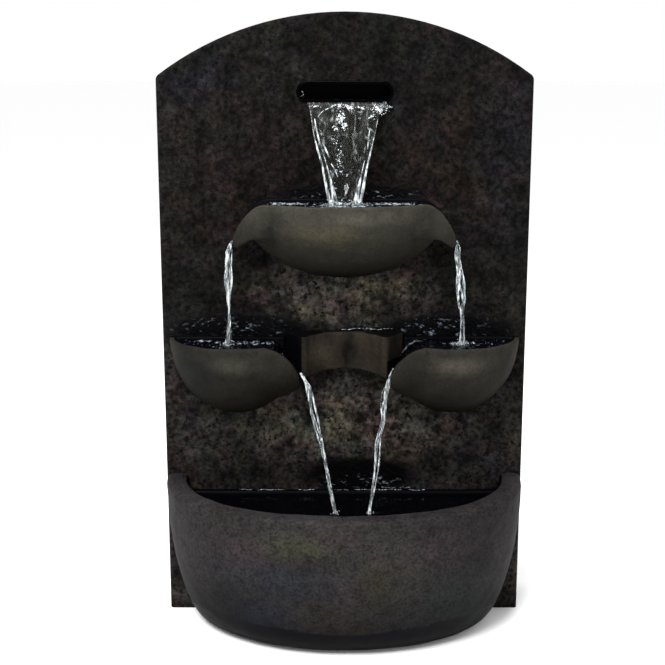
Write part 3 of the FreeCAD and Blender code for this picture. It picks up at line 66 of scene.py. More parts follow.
# The castings' sizes in millimetres, as the solids have them. An inside is the half-width, reach and depth
# of its egg, or the basin's half-width and reach. A floor or an edge is a spout's, as x with the height or
# the distance in front of the slab
UPPER_RIM = 605.0
UPPER_INSIDE = (137.0, 104.0, 100.5)
UPPER_FLOOR = ((90, 597), (104, 596), (120, 587), (134, 570), (144, 556), (157, 543))
UPPER_EDGE = ((90, 82), (120, 61), (157, 31))
LOWER_RIM = 412.0
LOWER_MIDDLE = 150.0
LOWER_INSIDE = (87.0, 82.0, 102.0)
LOWER_FLOOR = ((57, 354), (66, 365), (78, 383), (90, 398), (99, 404), (106, 404))
LOWER_EDGE = ((57, 51), (66, 61), (78, 71), (90, 77), (106, 79))
BASIN_INSIDE = (224.0, 173.0)
BASIN_POWER = 2.2
BASIN_START = -2
BASIN_FLOOR = 17
BACK_WALL = 11.0
# The bridge's flank: x, its distance in front of the slab there, and how fast that falls off outwards
FLANK_X = 55.5
FLANK_OUT = 51.2
FLANK_SLOPE = 1.478

# The water's levels and depths in millimetres
UPPER_LEVEL = 600.0
LOWER_LEVEL = 408.0
BASIN_LEVEL = 180.0
CHANNEL_WATER = 4.0
POOL_THICKNESS = 3.0
# The pools reach a little into the walls, so that no seam of light shows there
POOL_BACK = 9.0
POOL_GRIP = 0.8
# The sheet leaves the nozzle behind the slab's face, and lands this far in front of where it left. Its
# width is in metres, as the panel has it
SHEET_TOP = 738.2
SHEET_START = -6
SHEET_REACH = 49
SHEET_WIDTH = 0.108
# A stream's threads, the steps along each, and the cell of the skin that joins them
THREADS = 8
THREAD_STEPS = 34
WATER_CELL = 0.55

# The dents of hand finishing in millimetres, and how often the spouts' roots are smoothed
DENT_SIZE = 42
EASE_TURNS = 30

# The camera that was fitted to the photograph, in metres, degrees and pixels, and its sensor's width
CAMERA_X = -0.0165
CAMERA_AWAY = 1.7096
CAMERA_HEIGHT = 0.7949
CAMERA_TILT = 12.5
FOCAL_PIXELS = 1247
PICTURE_PIXELS = 665
SENSOR = 36


def linear(colour):
    """An sRGB hex colour as linear red, green, blue and alpha."""
    parts = [int(colour[i:i + 2], 16) / 255 for i in (1, 3, 5)]
    return tuple(c / 12.92 if c <= 0.04045 else ((c + 0.055) / 1.055) ** 2.4 for c in parts) + (1.0,)


def shaded(colour, factor):
    """A linear colour made darker or paler."""
    return tuple(min(1.0, c * factor) for c in colour[:3]) + (1.0,)


def fill(tree, node, values):
    """Links or sets a node's sockets. A node among the values stands for its first live output."""
    for name, value in values.items():
        if isinstance(value, bpy.types.Node):
            value = next(socket for socket in value.outputs if socket.enabled)
        if isinstance(value, bpy.types.NodeSocket):
            tree.links.new(value, node.inputs[name])
        else:
            node.inputs[name].default_value = linear(value) if isinstance(value, str) else value


def add(tree, kind, links=None, stops=None, **settings):
    """Adds a node with its settings, and links or fills the sockets named in links."""
    made = tree.nodes.new("ShaderNode" + kind)
    for name, value in settings.items():
        setattr(made, name, value)
    fill(tree, made, links or {})
    if stops:
        bands = made.color_ramp.elements
        while len(bands) < len(stops):
            bands.new(0.5)
        for band, (position, colour) in zip(bands, stops):
            band.position = position
            band.color = linear(colour) if isinstance(colour, str) else colour
    return made


def start_material(name):
    """A new material with its shader, and the object's own coordinates for its patterns."""
    material = bpy.data.materials.new(name)
    material.use_nodes = True
    tree = material.node_tree
    tree.nodes.clear()
    shader = add(tree, "BsdfPrincipled")
    add(tree, "OutputMaterial", {"Surface": shader})
    places = add(tree, "TexCoord").outputs["Object"]
    return material, tree, shader, places


def per_mm(size):
    """A noise scale whose features are about this many millimetres across."""
    return 0.55 * MM_PER_M / size


def patch(tree, places, centre, size, soft, level=False):
    """A share that is 1 inside an egg-shaped patch and fades out at its edge. The patch stands on a face,
    or lies level on a pool, where its second number counts from the slab."""
    across, other = centre
    width, height = size
    scale = (MM_PER_M / width, 0, MM_PER_M / height)
    shift = (-across / width, 0, -other / height)
    if level:
        scale = (MM_PER_M / width, MM_PER_M / height, 0)
        shift = (-across / width, (other - FACE / MM) / height, 0)
    moved = add(tree, "Mapping", {"Vector": places, "Location": shift, "Scale": scale})
    far = add(tree, "VectorMath", {0: moved}, operation="LENGTH")
    return add(tree, "MapRange", {"Value": far, "From Min": 1.0, "From Max": 1.0 - soft},
               interpolation_type="SMOOTHSTEP")


def patches(tree, places, rows, soft, level=False):
    """Several patches as one share."""
    found = patch(tree, places, *rows[0], soft, level)
    for row in rows[1:]:
        found = add(tree, "Math", {0: found, 1: patch(tree, places, *row, soft, level)},
                    operation="MAXIMUM")
    return found


def ragged(tree, share, places, size, low, high):
    """Breaks a patch's edge up with a grain of this size in millimetres."""
    grain = add(tree, "TexNoise", {"Vector": places, "Scale": per_mm(size), "Detail": 5, "Roughness": 0.6})
    broken = add(tree, "MapRange", {"Value": grain, "From Min": low, "From Max": high},
                 interpolation_type="SMOOTHSTEP")
    return add(tree, "Math", {0: share, 1: broken}, operation="MULTIPLY")


def place(x, out, z):
    """A point in metres from x, the distance in front of the slab and the height, in millimetres."""
    return Vector((x * MM, FACE - out * MM, z * MM))


def from_slab(point):
    """The other way round: x, the distance in front of the slab and the height of a point."""
    return point.x / MM, (FACE - point.y) / MM, point.z / MM


def keep(name, mesh, material):
    """Makes a finished mesh a piece that rides on the fountain's body."""
    mesh.name = name
    piece = bpy.data.objects.new(name, mesh)
    bpy.context.scene.collection.objects.link(piece)
    mesh.materials.clear()
    mesh.materials.append(material)
    for face in mesh.polygons:
        face.use_smooth = True
    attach(piece, BODY)
    return piece


def applied(piece):
    """The mesh that a piece's modifiers give, with the modifiers gone."""
    shown = piece.evaluated_get(bpy.context.evaluated_depsgraph_get())
    return bpy.data.meshes.new_from_object(shown)


def mesh_of(bm):
    """A bmesh as a mesh, and the bmesh freed."""
    mesh = bpy.data.meshes.new("work")
    bm.to_mesh(mesh)
    bm.free()
    return mesh


def fused_mesh(bm, voxel, smoothing):
    """One closed skin round everything in a bmesh, softened."""
    mesh = mesh_of(bm)
    piece = bpy.data.objects.new("work", mesh)
    bpy.context.scene.collection.objects.link(piece)
    skin = piece.modifiers.new("Skin", "REMESH")
    skin.mode = "VOXEL"
    skin.voxel_size = voxel * MM
    soft = piece.modifiers.new("Soft", "SMOOTH")
    soft.factor = 0.5
    soft.iterations = smoothing
    made = applied(piece)
    bpy.data.objects.remove(piece)
    bpy.data.meshes.remove(mesh)
    return made


def cad_copy(node):
    """A bmesh of a CAD node with its loose triangles joined."""
    bm = bmesh.new()
    bm.from_mesh(frame["nodes"][node].data)
    bmesh.ops.remove_doubles(bm, verts=bm.verts, dist=0.02 * MM)
    return bm


def dent(mesh, depth, size, shift):
    """Sinks a mesh's surface a little, unevenly, as in a hand-finished casting."""
    normals = [v.normal.copy() for v in mesh.vertices]
    for vertex, normal in zip(mesh.vertices, normals):
        p = vertex.co * (MM_PER_M / size)
        value = noise.noise(p + shift) + 0.5 * noise.noise(p * 2.3 - shift)
        vertex.co -= normal * depth * MM * min(1.0, max(0.0, 0.5 + value))
    mesh.update()


def eased(mesh, inner, outer, rim, wet):
    """Rounds off a bowl's outer skin from x to x, where a spout grows out of it."""
    bm = bmesh.new()
    bm.from_mesh(mesh)
    near = []
    for vertex in bm.verts:
        x, out, z = from_slab(vertex.co)
        if inner < abs(x) < outer and z < rim - 9 and out > 8 and not wet(abs(x), out - 5, z, None):
            near.append(vertex)
    for turn in range(EASE_TURNS):
        bmesh.ops.smooth_vert(bm, verts=near, factor=0.5, use_axis_x=True, use_axis_y=True, use_axis_z=True)
    bm.to_mesh(mesh)
    bm.free()


def measured(mesh, name, rule):
    """Gives each point of a mesh a share, worked out from its place and the way it faces."""
    layer = mesh.attributes.new(name, "FLOAT", "POINT")
    for vertex in mesh.vertices:
        value = rule(*from_slab(vertex.co), vertex.normal)
        layer.data[vertex.index].value = min(1.0, max(0.0, value))


def along(points, x):
    """The height or depth of a short outline at x."""
    for (x0, a), (x1, b) in zip(points, points[1:]):
        if x <= x1:
            return a + (b - a) * (max(x, x0) - x0) / (x1 - x0)
    return points[-1][1]


def bowl_front(x, middle, sizes, drop):
    """How far a bowl's inner wall stands out from the slab at x, this far below its rim."""
    half, reach, depth = sizes
    inside = 1 - ((x - middle) / half) ** 2 - (drop / depth) ** 2
    return reach * math.sqrt(max(0.0, inside))


def basin_front(x, grow):
    """How far the basin's inner wall stands out from the slab at x, when it is grown by so much."""
    half, reach = BASIN_INSIDE
    share = min(1.0, abs(x) / (half + grow))
    return BASIN_START + (reach + grow) * (1 - share ** BASIN_POWER) ** (1 / BASIN_POWER)


# The slab's clouds, each of two patches: colour, middle (x and height) and half-sizes of both patches in
# millimetres, the size of the grain that breaks them up, the grain's low and high, and strength
SLAB_CLOUDS = (
    ("#30211e", ((-130, 610), (130, 150)), ((135, 640), (125, 140)), 30, 0.38, 0.70, 0.6),
    ("#1d1f25", ((235, 640), (70, 190)), ((-215, 770), (80, 90)), 45, 0.36, 0.70, 0.6),
    ("#3d3831", ((0, 468), (190, 62)), ((0, 285), (240, 80)), 26, 0.36, 0.60, 0.75),
    ("#4a453e", ((10, 480), (150, 45)), ((0, 275), (220, 62)), 8, 0.50, 0.64, 0.7),
)
# Where splashes keep the slab black, and where spray and painted glints show white on it: middle and
# half-sizes
SLAB_SPLASHED = (((22, 206), (96, 34)), ((-150, 422), (124, 25)), ((150, 422), (124, 25)),
                 ((10, 612), (128, 14)))
SLAB_SPRAY_AND_GLINTS = (((-150, 422), (116, 20)), ((150, 422), (116, 20)), ((15, 609), (112, 12)),
              ((30, 196), (90, 14)), ((34, 424), (44, 7)))


def riven_slab(tone):
    """Cast stone from a riven mould, stained charcoal: dull and nearly black, of many mingled hues, with
    brown and slate clouds, and pits painted near black as the shade in them. It is paler between and below
    the bowls as painted light, and is black where water splashes, with white flecks there that are partly
    spray and partly painted glints. Its sand is drawn about four times as coarse as it is."""
    material, tree, shader, places = start_material("CastStoneRiven")
    broad = add(tree, "TexNoise", {"Vector": places, "Scale": per_mm(90), "Detail": 5, "Roughness": 0.65,
                                   "Distortion": 0.6})
    base = add(tree, "ValToRGB", {"Fac": broad}, stops=[(0.30, shaded(tone, 0.75)), (0.46, tone),
                                                        (0.58, "#23201e"), (0.72, "#2a2625")])
    for colour, first, second, size, low, high, strength in SLAB_CLOUDS:
        share = ragged(tree, patches(tree, places, (first, second), 0.8), places, size, low, high)
        share = add(tree, "Math", {0: share, 1: strength}, operation="MULTIPLY")
        base = add(tree, "Mix", {0: share, 6: base, 7: colour}, data_type="RGBA")
    # Each channel of the noise wanders by itself, so that the hue changes from place to place
    hues = add(tree, "TexNoise", {"Vector": places, "Scale": per_mm(22), "Detail": 4, "Roughness": 0.6})
    hues = add(tree, "VectorMath", {0: hues.outputs["Color"], 1: (0.9, 0.7, 0.9), 2: (0.55, 0.65, 0.55)},
               operation="MULTIPLY_ADD")
    base = add(tree, "Mix", {0: 1.0, 6: base, 7: hues}, data_type="RGBA", blend_type="MULTIPLY")
    mottle = add(tree, "TexNoise", {"Vector": places, "Scale": per_mm(13), "Detail": 5, "Roughness": 0.68})
    sand = add(tree, "TexNoise", {"Vector": places, "Scale": per_mm(3.6), "Detail": 4, "Roughness": 0.7})
    for grain, stops in ((mottle, [(0.32, "#585858"), (0.5, "#c4c4c4"), (0.68, "#ffffff")]),
                         (sand, [(0.34, "#505050"), (0.5, "#c8c8c8"), (0.64, "#ffffff")])):
        grey = add(tree, "ValToRGB", {"Fac": grain}, stops=stops)
        base = add(tree, "Mix", {0: 1.0, 6: base, 7: grey}, data_type="RGBA", blend_type="MULTIPLY")
    # Painted light: paler below the lower bowls, and in a patch between the tiers, where the bowls shade the
    # slab
    level = add(tree, "SeparateXYZ", {0: places}).outputs["Z"]
    low = add(tree, "MapRange", {"Value": level, "From Min": 460 * MM, "From Max": 350 * MM})
    between = patch(tree, places, (0, 482), (190, 95), 0.7)
    painted_light = add(tree, "Math", {0: low, 1: between}, operation="MAXIMUM")
    painted_light = add(tree, "Math", {0: painted_light, 1: 1.42, 2: 1.05}, operation="MULTIPLY_ADD")
    base = add(tree, "VectorMath", {0: base, "Scale": painted_light}, operation="SCALE")
    # Pits painted near black: painted shade in the hollows, which the bump also sinks
    moved = add(tree, "Mapping", {"Vector": places, "Location": (3.1, 1.7, 0.4)})
    pits = add(tree, "TexNoise", {"Vector": moved, "Scale": per_mm(6), "Detail": 3, "Roughness": 0.6})
    pits = add(tree, "MapRange", {"Value": pits, "From Min": 0.60, "From Max": 0.66},
               interpolation_type="SMOOTHSTEP")
    base = add(tree, "Mix", {0: pits, 6: base, 7: "#0b0a0a"}, data_type="RGBA")
    wet = ragged(tree, patches(tree, places, SLAB_SPLASHED, 0.4), places, 8, 0.20, 0.38)
    base = add(tree, "Mix", {0: wet, 6: base, 7: "#020203"}, data_type="RGBA")
    # Painted glints and spray: white flecks on the black stains, wider than they are tall
    flat = add(tree, "Mapping", {"Vector": places, "Scale": (0.5, 1.0, 1.0)})
    spray_and_glints = add(tree, "TexNoise", {"Vector": flat, "Scale": per_mm(2.2), "Detail": 3, "Roughness": 0.6,
                                   "Distortion": 0.5})
    spray_and_glints = add(tree, "MapRange", {"Value": spray_and_glints, "From Min": 0.56, "From Max": 0.68},
                interpolation_type="SMOOTHSTEP")
    runs = patches(tree, places, SLAB_SPRAY_AND_GLINTS, 0.7)
    flecks = add(tree, "Math", {0: spray_and_glints, 1: runs}, operation="MULTIPLY")
    flecks = ragged(tree, flecks, places, 16, 0.42, 0.60)
    base = add(tree, "Mix", {0: flecks, 6: base, 7: "#747e86"}, data_type="RGBA")
    dull = add(tree, "MapRange", {"Value": wet, "To Min": 0.9, "To Max": 0.4})
    height = add(tree, "Math", {0: sand, 1: mottle}, operation="ADD")
    height = add(tree, "Math", {0: height, 1: pits}, operation="SUBTRACT")
    height = add(tree, "Math", {0: height, 1: flecks}, operation="ADD")
    bump = add(tree, "Bump", {"Height": height, "Strength": 0.9, "Distance": 1.8 * MM})
    fill(tree, shader, {"Base Color": base, "Roughness": dull, "Specular IOR Level": 0.05, "Normal": bump})
    return material


def smooth_casting(name, tone, cloud, speck, contrast, rise, shades, stains_and_light):
    """Cast stone from a smooth mould, rubbed and sealed: clouded colour with fine specks and a low sheen,
    stains, painted highlights and painted shade, darker towards its foot as painted shade, and black where
    water keeps it wet and, inside the bowls, as painted shade. Its specks are sand of under a millimetre,
    drawn twice as coarse."""
    material, tree, shader, places = start_material(name)
    broad = add(tree, "TexNoise", {"Vector": places, "Scale": per_mm(cloud), "Detail": 3, "Roughness": 0.5,
                                   "Distortion": 0.6})
    base = add(tree, "ValToRGB", {"Fac": broad}, stops=[
        (0.28, shaded(tone, 0.66)), (0.46, tone), (0.60, shaded(tone, 1.25)), (0.74, shaded(tone, 0.8))])
    # Stains of other hues, and pale and dark patches that are painted highlights and painted shade
    for colour, spot, strength in stains_and_light:
        share = ragged(tree, patch(tree, places, *spot, 1.0), places, cloud * 0.3, 0.20, 0.60)
        share = add(tree, "Math", {0: share, 1: strength}, operation="MULTIPLY")
        base = add(tree, "Mix", {0: share, 6: base, 7: colour}, data_type="RGBA")
    mottle = add(tree, "TexNoise", {"Vector": places, "Scale": per_mm(speck * 4), "Detail": 4,
                                    "Roughness": 0.6})
    sand = add(tree, "TexNoise", {"Vector": places, "Scale": per_mm(speck), "Detail": 5, "Roughness": 0.7})
    for grain, share in ((mottle, contrast * 0.6), (sand, contrast)):
        grey = add(tree, "ValToRGB", {"Fac": grain}, stops=[
            (0.36, shaded(WHITE, 1 - share)), (0.50, shaded(WHITE, 1 - share * 0.4)), (0.64, WHITE)])
        base = add(tree, "Mix", {0: 1.0, 6: base, 7: grey}, data_type="RGBA", blend_type="MULTIPLY")
    # Painted shade: darker towards the foot, by the shades given between foot and rim
    level = add(tree, "SeparateXYZ", {0: places}).outputs["Z"]
    height = add(tree, "MapRange", {"Value": level, "From Min": rise[0] * MM, "From Max": rise[1] * MM})
    painted_shade = add(tree, "ValToRGB", {"Fac": height}, stops=[
        (share, shaded(WHITE, shade)) for share, shade in shades])
    base = add(tree, "Mix", {0: 1.0, 6: base, 7: painted_shade}, data_type="RGBA", blend_type="MULTIPLY")
    # The wet share: black where water keeps the stone wet, and inside the bowls and basin also painted shade
    wet = add(tree, "Attribute", attribute_name="wet").outputs["Fac"]
    base = add(tree, "Mix", {0: wet, 6: base, 7: "#030305"}, data_type="RGBA")
    gloss = add(tree, "MapRange", {"Value": wet, "To Min": 0.65, "To Max": 0.5})
    bump = add(tree, "Bump", {"Height": sand, "Strength": 0.3, "Distance": 0.5 * MM})
    fill(tree, shader, {"Base Color": base, "Roughness": gloss, "Specular IOR Level": 0.03, "Normal": bump})
    return material


def moulded(name, colour, pale, roughness, texture, specular=0.5, coat=0.0):
    """Moulded, extruded or sheet stock: one colour, slightly uneven, with the mould's fine texture, which is
    drawn several times as coarse as it is so that it shows."""
    material, tree, shader, places = start_material(name)
    broad = add(tree, "TexNoise", {"Vector": places, "Scale": per_mm(30), "Detail": 3})
    tint = add(tree, "ValToRGB", {"Fac": broad}, stops=[(0.35, colour), (0.7, pale)])
    sheen = add(tree, "MapRange", {"Value": broad, "To Min": roughness - 0.08, "To Max": roughness + 0.10})
    fine = add(tree, "TexNoise", {"Vector": places, "Scale": per_mm(texture), "Detail": 2})
    bump = add(tree, "Bump", {"Height": fine, "Strength": 0.25, "Distance": 0.06 * MM})
    fill(tree, shader, {"Base Color": tint, "Roughness": sheen, "Specular IOR Level": specular,
                        "Coat Weight": coat, "Normal": bump})
    return material


def turned_metal(name, colour, pale, roughness):
    """Turned or drawn metal: bright, with the tool's fine rings. They are a tenth of a millimetre apart on
    the real ones, and six times that here so that they show."""
    material, tree, shader, places = start_material(name)
    drawn = add(tree, "Mapping", {"Vector": places, "Scale": (0.08, 1.0, 1.0)})
    rings = add(tree, "TexNoise", {"Vector": drawn, "Scale": per_mm(0.6), "Detail": 3})
    tint = add(tree, "ValToRGB", {"Fac": rings}, stops=[(0.35, colour), (0.7, pale)])
    sheen = add(tree, "MapRange", {"Value": rings, "To Min": roughness - 0.08, "To Max": roughness + 0.10})
    bump = add(tree, "Bump", {"Height": rings, "Strength": 0.15, "Distance": 0.03 * MM})
    fill(tree, shader, {"Metallic": 1.0, "Base Color": tint, "Roughness": sheen, "Normal": bump})
    return material


def zinc_sheet(name):
    """Zinc-dipped steel sheet: dull silver with the frosted crystals that the bath leaves, about 8 mm
    across, under a fine bloom."""
    material, tree, shader, places = start_material(name)
    cells = add(tree, "TexVoronoi", {"Vector": places, "Scale": per_mm(8)}).outputs["Color"]
    share = add(tree, "SeparateColor", {"Color": cells})
    tint = add(tree, "ValToRGB", {"Fac": share}, stops=[(0.2, "#868a8d"), (0.8, "#b4b8ba")])
    sheen = add(tree, "MapRange", {"Value": share, "To Min": 0.34, "To Max": 0.52})
    fine = add(tree, "TexNoise", {"Vector": places, "Scale": per_mm(2), "Detail": 3})
    bump = add(tree, "Bump", {"Height": fine, "Strength": 0.2, "Distance": 0.05 * MM})
    fill(tree, shader, {"Metallic": 1.0, "Base Color": tint, "Roughness": sheen, "Normal": bump})
    return material


def pool_water(name, chop, cover, tint, foam):
    """Water in a dark bowl: black and mirror-like, broken by ripples, with pale flecks that are partly froth
    and partly painted glints, and patches of froth.
    """
    material, tree, shader, places = start_material(name)
    # Flecks are longer front to back, because the pool is seen at a low angle
    long = add(tree, "Mapping", {"Vector": places, "Scale": (1.0, 0.45, 1.0)})
    froth_and_glints = add(tree, "TexNoise", {"Vector": long, "Scale": per_mm(3.0), "Detail": 4, "Roughness": 0.7,
                                   "Distortion": 0.8})
    gain = add(tree, "Math", {0: patches(tree, places, foam, 0.8, True), 1: 0.16}, operation="MULTIPLY")
    froth_and_glints = add(tree, "Math", {0: froth_and_glints, 1: gain}, operation="ADD")
    froth_and_glints = add(tree, "MapRange", {"Value": froth_and_glints, "From Min": 0.62 - cover, "From Max": 0.78 - cover},
                interpolation_type="SMOOTHSTEP")
    # Pale flecks: froth, and painted glints on the dark water
    base = add(tree, "Mix", {0: froth_and_glints, 6: tint, 7: "#8f999f"}, data_type="RGBA")
    sheen = add(tree, "MapRange", {"Value": froth_and_glints, "To Min": 0.06, "To Max": 0.4})
    waves = add(tree, "TexNoise", {"Vector": places, "Scale": per_mm(9), "Detail": 3, "Roughness": 0.55,
                                   "Distortion": 0.5})
    height = add(tree, "Math", {0: waves, 1: froth_and_glints}, operation="ADD")
    bump = add(tree, "Bump", {"Height": height, "Strength": chop, "Distance": 1.6 * MM})
    fill(tree, shader, {"Base Color": base, "Roughness": sheen, "Specular IOR Level": 0.05, "Normal": bump})
    return material


def white_water(name, solid, streak, stretch, air=0.0):
    """Water full of air: grey and white in fine streaks along its fall, and clear between the streaks. More
    air makes it whiter. Its bubbles are too small to show, so the streaks stand for strings of them."""
    material, tree, shader, places = start_material(name)
    drawn = add(tree, "Mapping", {"Vector": places, "Scale": (1.0, 1.0, stretch)})
    lines = add(tree, "TexNoise", {"Vector": drawn, "Scale": per_mm(streak), "Detail": 4, "Roughness": 0.7,
                                   "Distortion": 0.3})
    tint = add(tree, "ValToRGB", {"Fac": lines}, stops=[
        (0.38 - air, "#1e2123"), (0.48 - air, "#545a5d"), (0.57 - air, "#9aa0a2"), (0.66 - air, "#d3d6d6")])
    cover = add(tree, "MapRange", {"Value": lines, "From Min": 0.38, "From Max": 0.54, "To Min": solid,
                                   "To Max": 0.95}, interpolation_type="SMOOTHSTEP")
    bump = add(tree, "Bump", {"Height": lines, "Strength": 0.7, "Distance": 0.7 * MM})
    fill(tree, shader, {"Base Color": tint, "Alpha": cover, "Roughness": 0.2, "Specular IOR Level": 0.25,
                        "Normal": bump})
    return material


def clear_sheet(name):
    """A thin sheet of water: clear as dark glass, with faint pale streaks painted on as highlights."""
    material, tree, shader, places = start_material(name)
    drawn = add(tree, "Mapping", {"Vector": places, "Scale": (1.0, 1.0, 0.4)})
    lines = add(tree, "TexNoise", {"Vector": drawn, "Scale": per_mm(5), "Detail": 5, "Roughness": 0.65,
                                   "Distortion": 1.4})
    tint = add(tree, "ValToRGB", {"Fac": lines}, stops=[
        (0.40, "#1c1d1a"), (0.56, "#2c2d2a"), (0.68, "#8a8f90")])
    cover = add(tree, "MapRange", {"Value": lines, "From Min": 0.56, "From Max": 0.70, "To Min": 0.30,
                                   "To Max": 0.65}, interpolation_type="SMOOTHSTEP")
    bump = add(tree, "Bump", {"Height": lines, "Strength": 0.6, "Distance": 1.0 * MM})
    fill(tree, shader, {"Base Color": tint, "Alpha": cover, "Roughness": 0.2, "Specular IOR Level": 0.05,
                        "Normal": bump})
    return material


def studio_paper(tint):
    """Matt paper for the floor, with a barely visible tooth that is drawn coarser than it is."""
    material, tree, shader, places = start_material("StudioPaper")
    tooth = add(tree, "TexNoise", {"Vector": places, "Scale": per_mm(3), "Detail": 2})
    bump = add(tree, "Bump", {"Height": tooth, "Strength": 0.05, "Distance": 0.1 * MM})
    fill(tree, shader, {"Base Color": tint, "Roughness": 0.9, "Specular IOR Level": 0.05, "Normal": bump})
    return material


def water_layer(x0, x1, back, front, level, columns, rows, chop):
    """A thin layer of water between a back line and a front line, rippled on top."""
    bm = bmesh.new()
    bmesh.ops.create_grid(bm, x_segments=columns, y_segments=rows, size=1)
    for vertex in bm.verts:
        x = x0 + (x1 - x0) * (vertex.co.x + 1) / 2
        near = back(x)
        out = near + max(0.4, front(x) - near) * (vertex.co.y + 1) / 2
        spot = Vector((x, out, 0))
        wave = noise.noise(spot / 17) + 0.6 * noise.noise(spot / 7)
        vertex.co = place(x, out, level(x) + chop * wave)
    bmesh.ops.recalc_face_normals(bm, faces=bm.faces)
    if sum(face.normal.z for face in bm.faces) < 0:
        bmesh.ops.reverse_faces(bm, faces=bm.faces)
    bmesh.ops.solidify(bm, geom=bm.faces[:], thickness=POOL_THICKNESS * MM)
    bmesh.ops.recalc_face_normals(bm, faces=bm.faces)
    return mesh_of(bm)


def upper_front(x):
    """The upper pool's front line: the bowl's wall, and a spout's channel beyond it."""
    if abs(x) > 90:
        return along(UPPER_EDGE, abs(x)) + POOL_GRIP
    return bowl_front(x, 0, UPPER_INSIDE, UPPER_RIM - UPPER_LEVEL) + POOL_GRIP


def upper_level(x):
    """The upper pool's height: level, then downhill in the spout."""
    if abs(x) < 104:
        return UPPER_LEVEL
    return min(UPPER_LEVEL, along(UPPER_FLOOR, abs(x)) + CHANNEL_WATER)


def lower_back(x):
    """A lower pool's back line: the bridge's flank near the spout, and the bowl's own wall beyond it."""
    flank = FLANK_OUT - FLANK_SLOPE * (abs(x) - FLANK_X)
    return max(POOL_BACK, flank - POOL_GRIP)


def lower_front(x):
    """A lower pool's front line: the spout's channel, and the bowl's wall beyond it."""
    if abs(x) < 106:
        return along(LOWER_EDGE, abs(x)) + POOL_GRIP
    return bowl_front(abs(x), LOWER_MIDDLE, LOWER_INSIDE, LOWER_RIM - LOWER_LEVEL) + POOL_GRIP


def lower_level(x):
    """A lower pool's height: level, then downhill in the spout."""
    if abs(x) > 99:
        return LOWER_LEVEL
    return min(LOWER_LEVEL, along(LOWER_FLOOR, abs(x)) + CHANNEL_WATER)


def in_channel(x, out, z, edge, floor):
    """1 in a spout's channel and on its skin."""
    return (out < along(edge, x) + 1.5) * (z > along(floor, x) - 4.5) * 1.0


def in_bowl(x, out, z, middle, rim, sizes, skin):
    """1 in a bowl's hollow and on its skin, which is a little more than the egg that hollows it."""
    half, reach, depth = sizes
    return (((x - middle) / half) ** 2 + (out / reach) ** 2 + ((z - rim) / depth) ** 2 < skin) * 1.0


def upper_wet_and_shade(x, out, z, normal):
    """Black where water runs: the channels, the top of the back wall, and the inside, wet and in painted
    shade.
    """
    x = abs(x)
    if out < BACK_WALL + 2 and z > UPPER_RIM - 8 and x < 140:
        return 1.0
    if x > 100:
        return in_channel(x, out, z, UPPER_EDGE, UPPER_FLOOR)
    return in_bowl(x, out, z, 0, UPPER_RIM, UPPER_INSIDE, 1.035)


def lower_wet_and_shade(x, out, z, normal):
    """Black as the upper bowl is, for wet stone and painted shade, and further down the back wall,
    where the upper streams splash.
    """
    x = abs(x)
    if out < BACK_WALL + 2 and z > LOWER_RIM - 26:
        return 1.0
    if x < 106:
        return in_channel(x, out, z, LOWER_EDGE, LOWER_FLOOR)
    return in_bowl(x, out, z, LOWER_MIDDLE, LOWER_RIM, LOWER_INSIDE, 1.04)


def bridge_wet(x, out, z, normal):
    """The bridge's top and flanks are splashed; its hollow front stays drier."""
    if normal.z > 0.6:
        return 0.9 if out < 9 or abs(x) > 30 else 0.35
    if x < -54 and normal.x < -0.3:
        return 1.0
    if x > 54 and normal.x > 0.3:
        return 1.0 if z < 385 else 0.25
    return 0.0


def basin_wet_and_shade(x, out, z, normal):
    """Black inside, as wet stone and painted shade, and on the part of the back wall that the lower
    streams splash.
    """
    half = BASIN_INSIDE[0]
    if out < 14 and 150 < z < 192 and abs(x) < half:
        return 1.0
    return (z > BASIN_FLOOR and out < basin_front(x, 1.5) and abs(x) < half + 2) * 1.0


# Where a spout grows out of its bowl: from x to x, with the rim's height and the rule of what is black,
# as wet stone and as painted shade
SPOUT_ROOTS = {"upper_bowl": (88, 142, UPPER_RIM, upper_wet_and_shade), "left_bowl": (84, 124, LOWER_RIM, lower_wet_and_shade),
               "right_bowl": (84, 124, LOWER_RIM, lower_wet_and_shade)}


def strand(bm, points, radii):
    """Adds a tapering thread of water along a smooth line."""
    line = bpy.data.curves.new("strand", "CURVE")
    line.dimensions = "3D"
    line.bevel_depth = 1.0 * MM
    line.bevel_resolution = 2
    line.resolution_u = 4
    line.use_fill_caps = True
    path = line.splines.new("NURBS")
    path.points.add(len(points) - 1)
    for knot, spot, radius in zip(path.points, points, radii):
        knot.co = (*spot, 1)
        knot.radius = radius
    path.order_u = 3
    path.use_endpoint_u = True
    holder = bpy.data.objects.new("strand", line)
    bpy.context.scene.collection.objects.link(holder)
    mesh = applied(holder)
    bm.from_mesh(mesh)
    bpy.data.meshes.remove(mesh)
    bpy.data.objects.remove(holder)
    bpy.data.curves.remove(line)


def spot_on(knots, share):
    """The place and half-width at a share of a stream's fall."""
    step = share * (len(knots) - 1)
    index = min(int(step), len(knots) - 2)
    part = step - index
    return [a + (b - a) * part for a, b in zip(knots[index], knots[index + 1])]


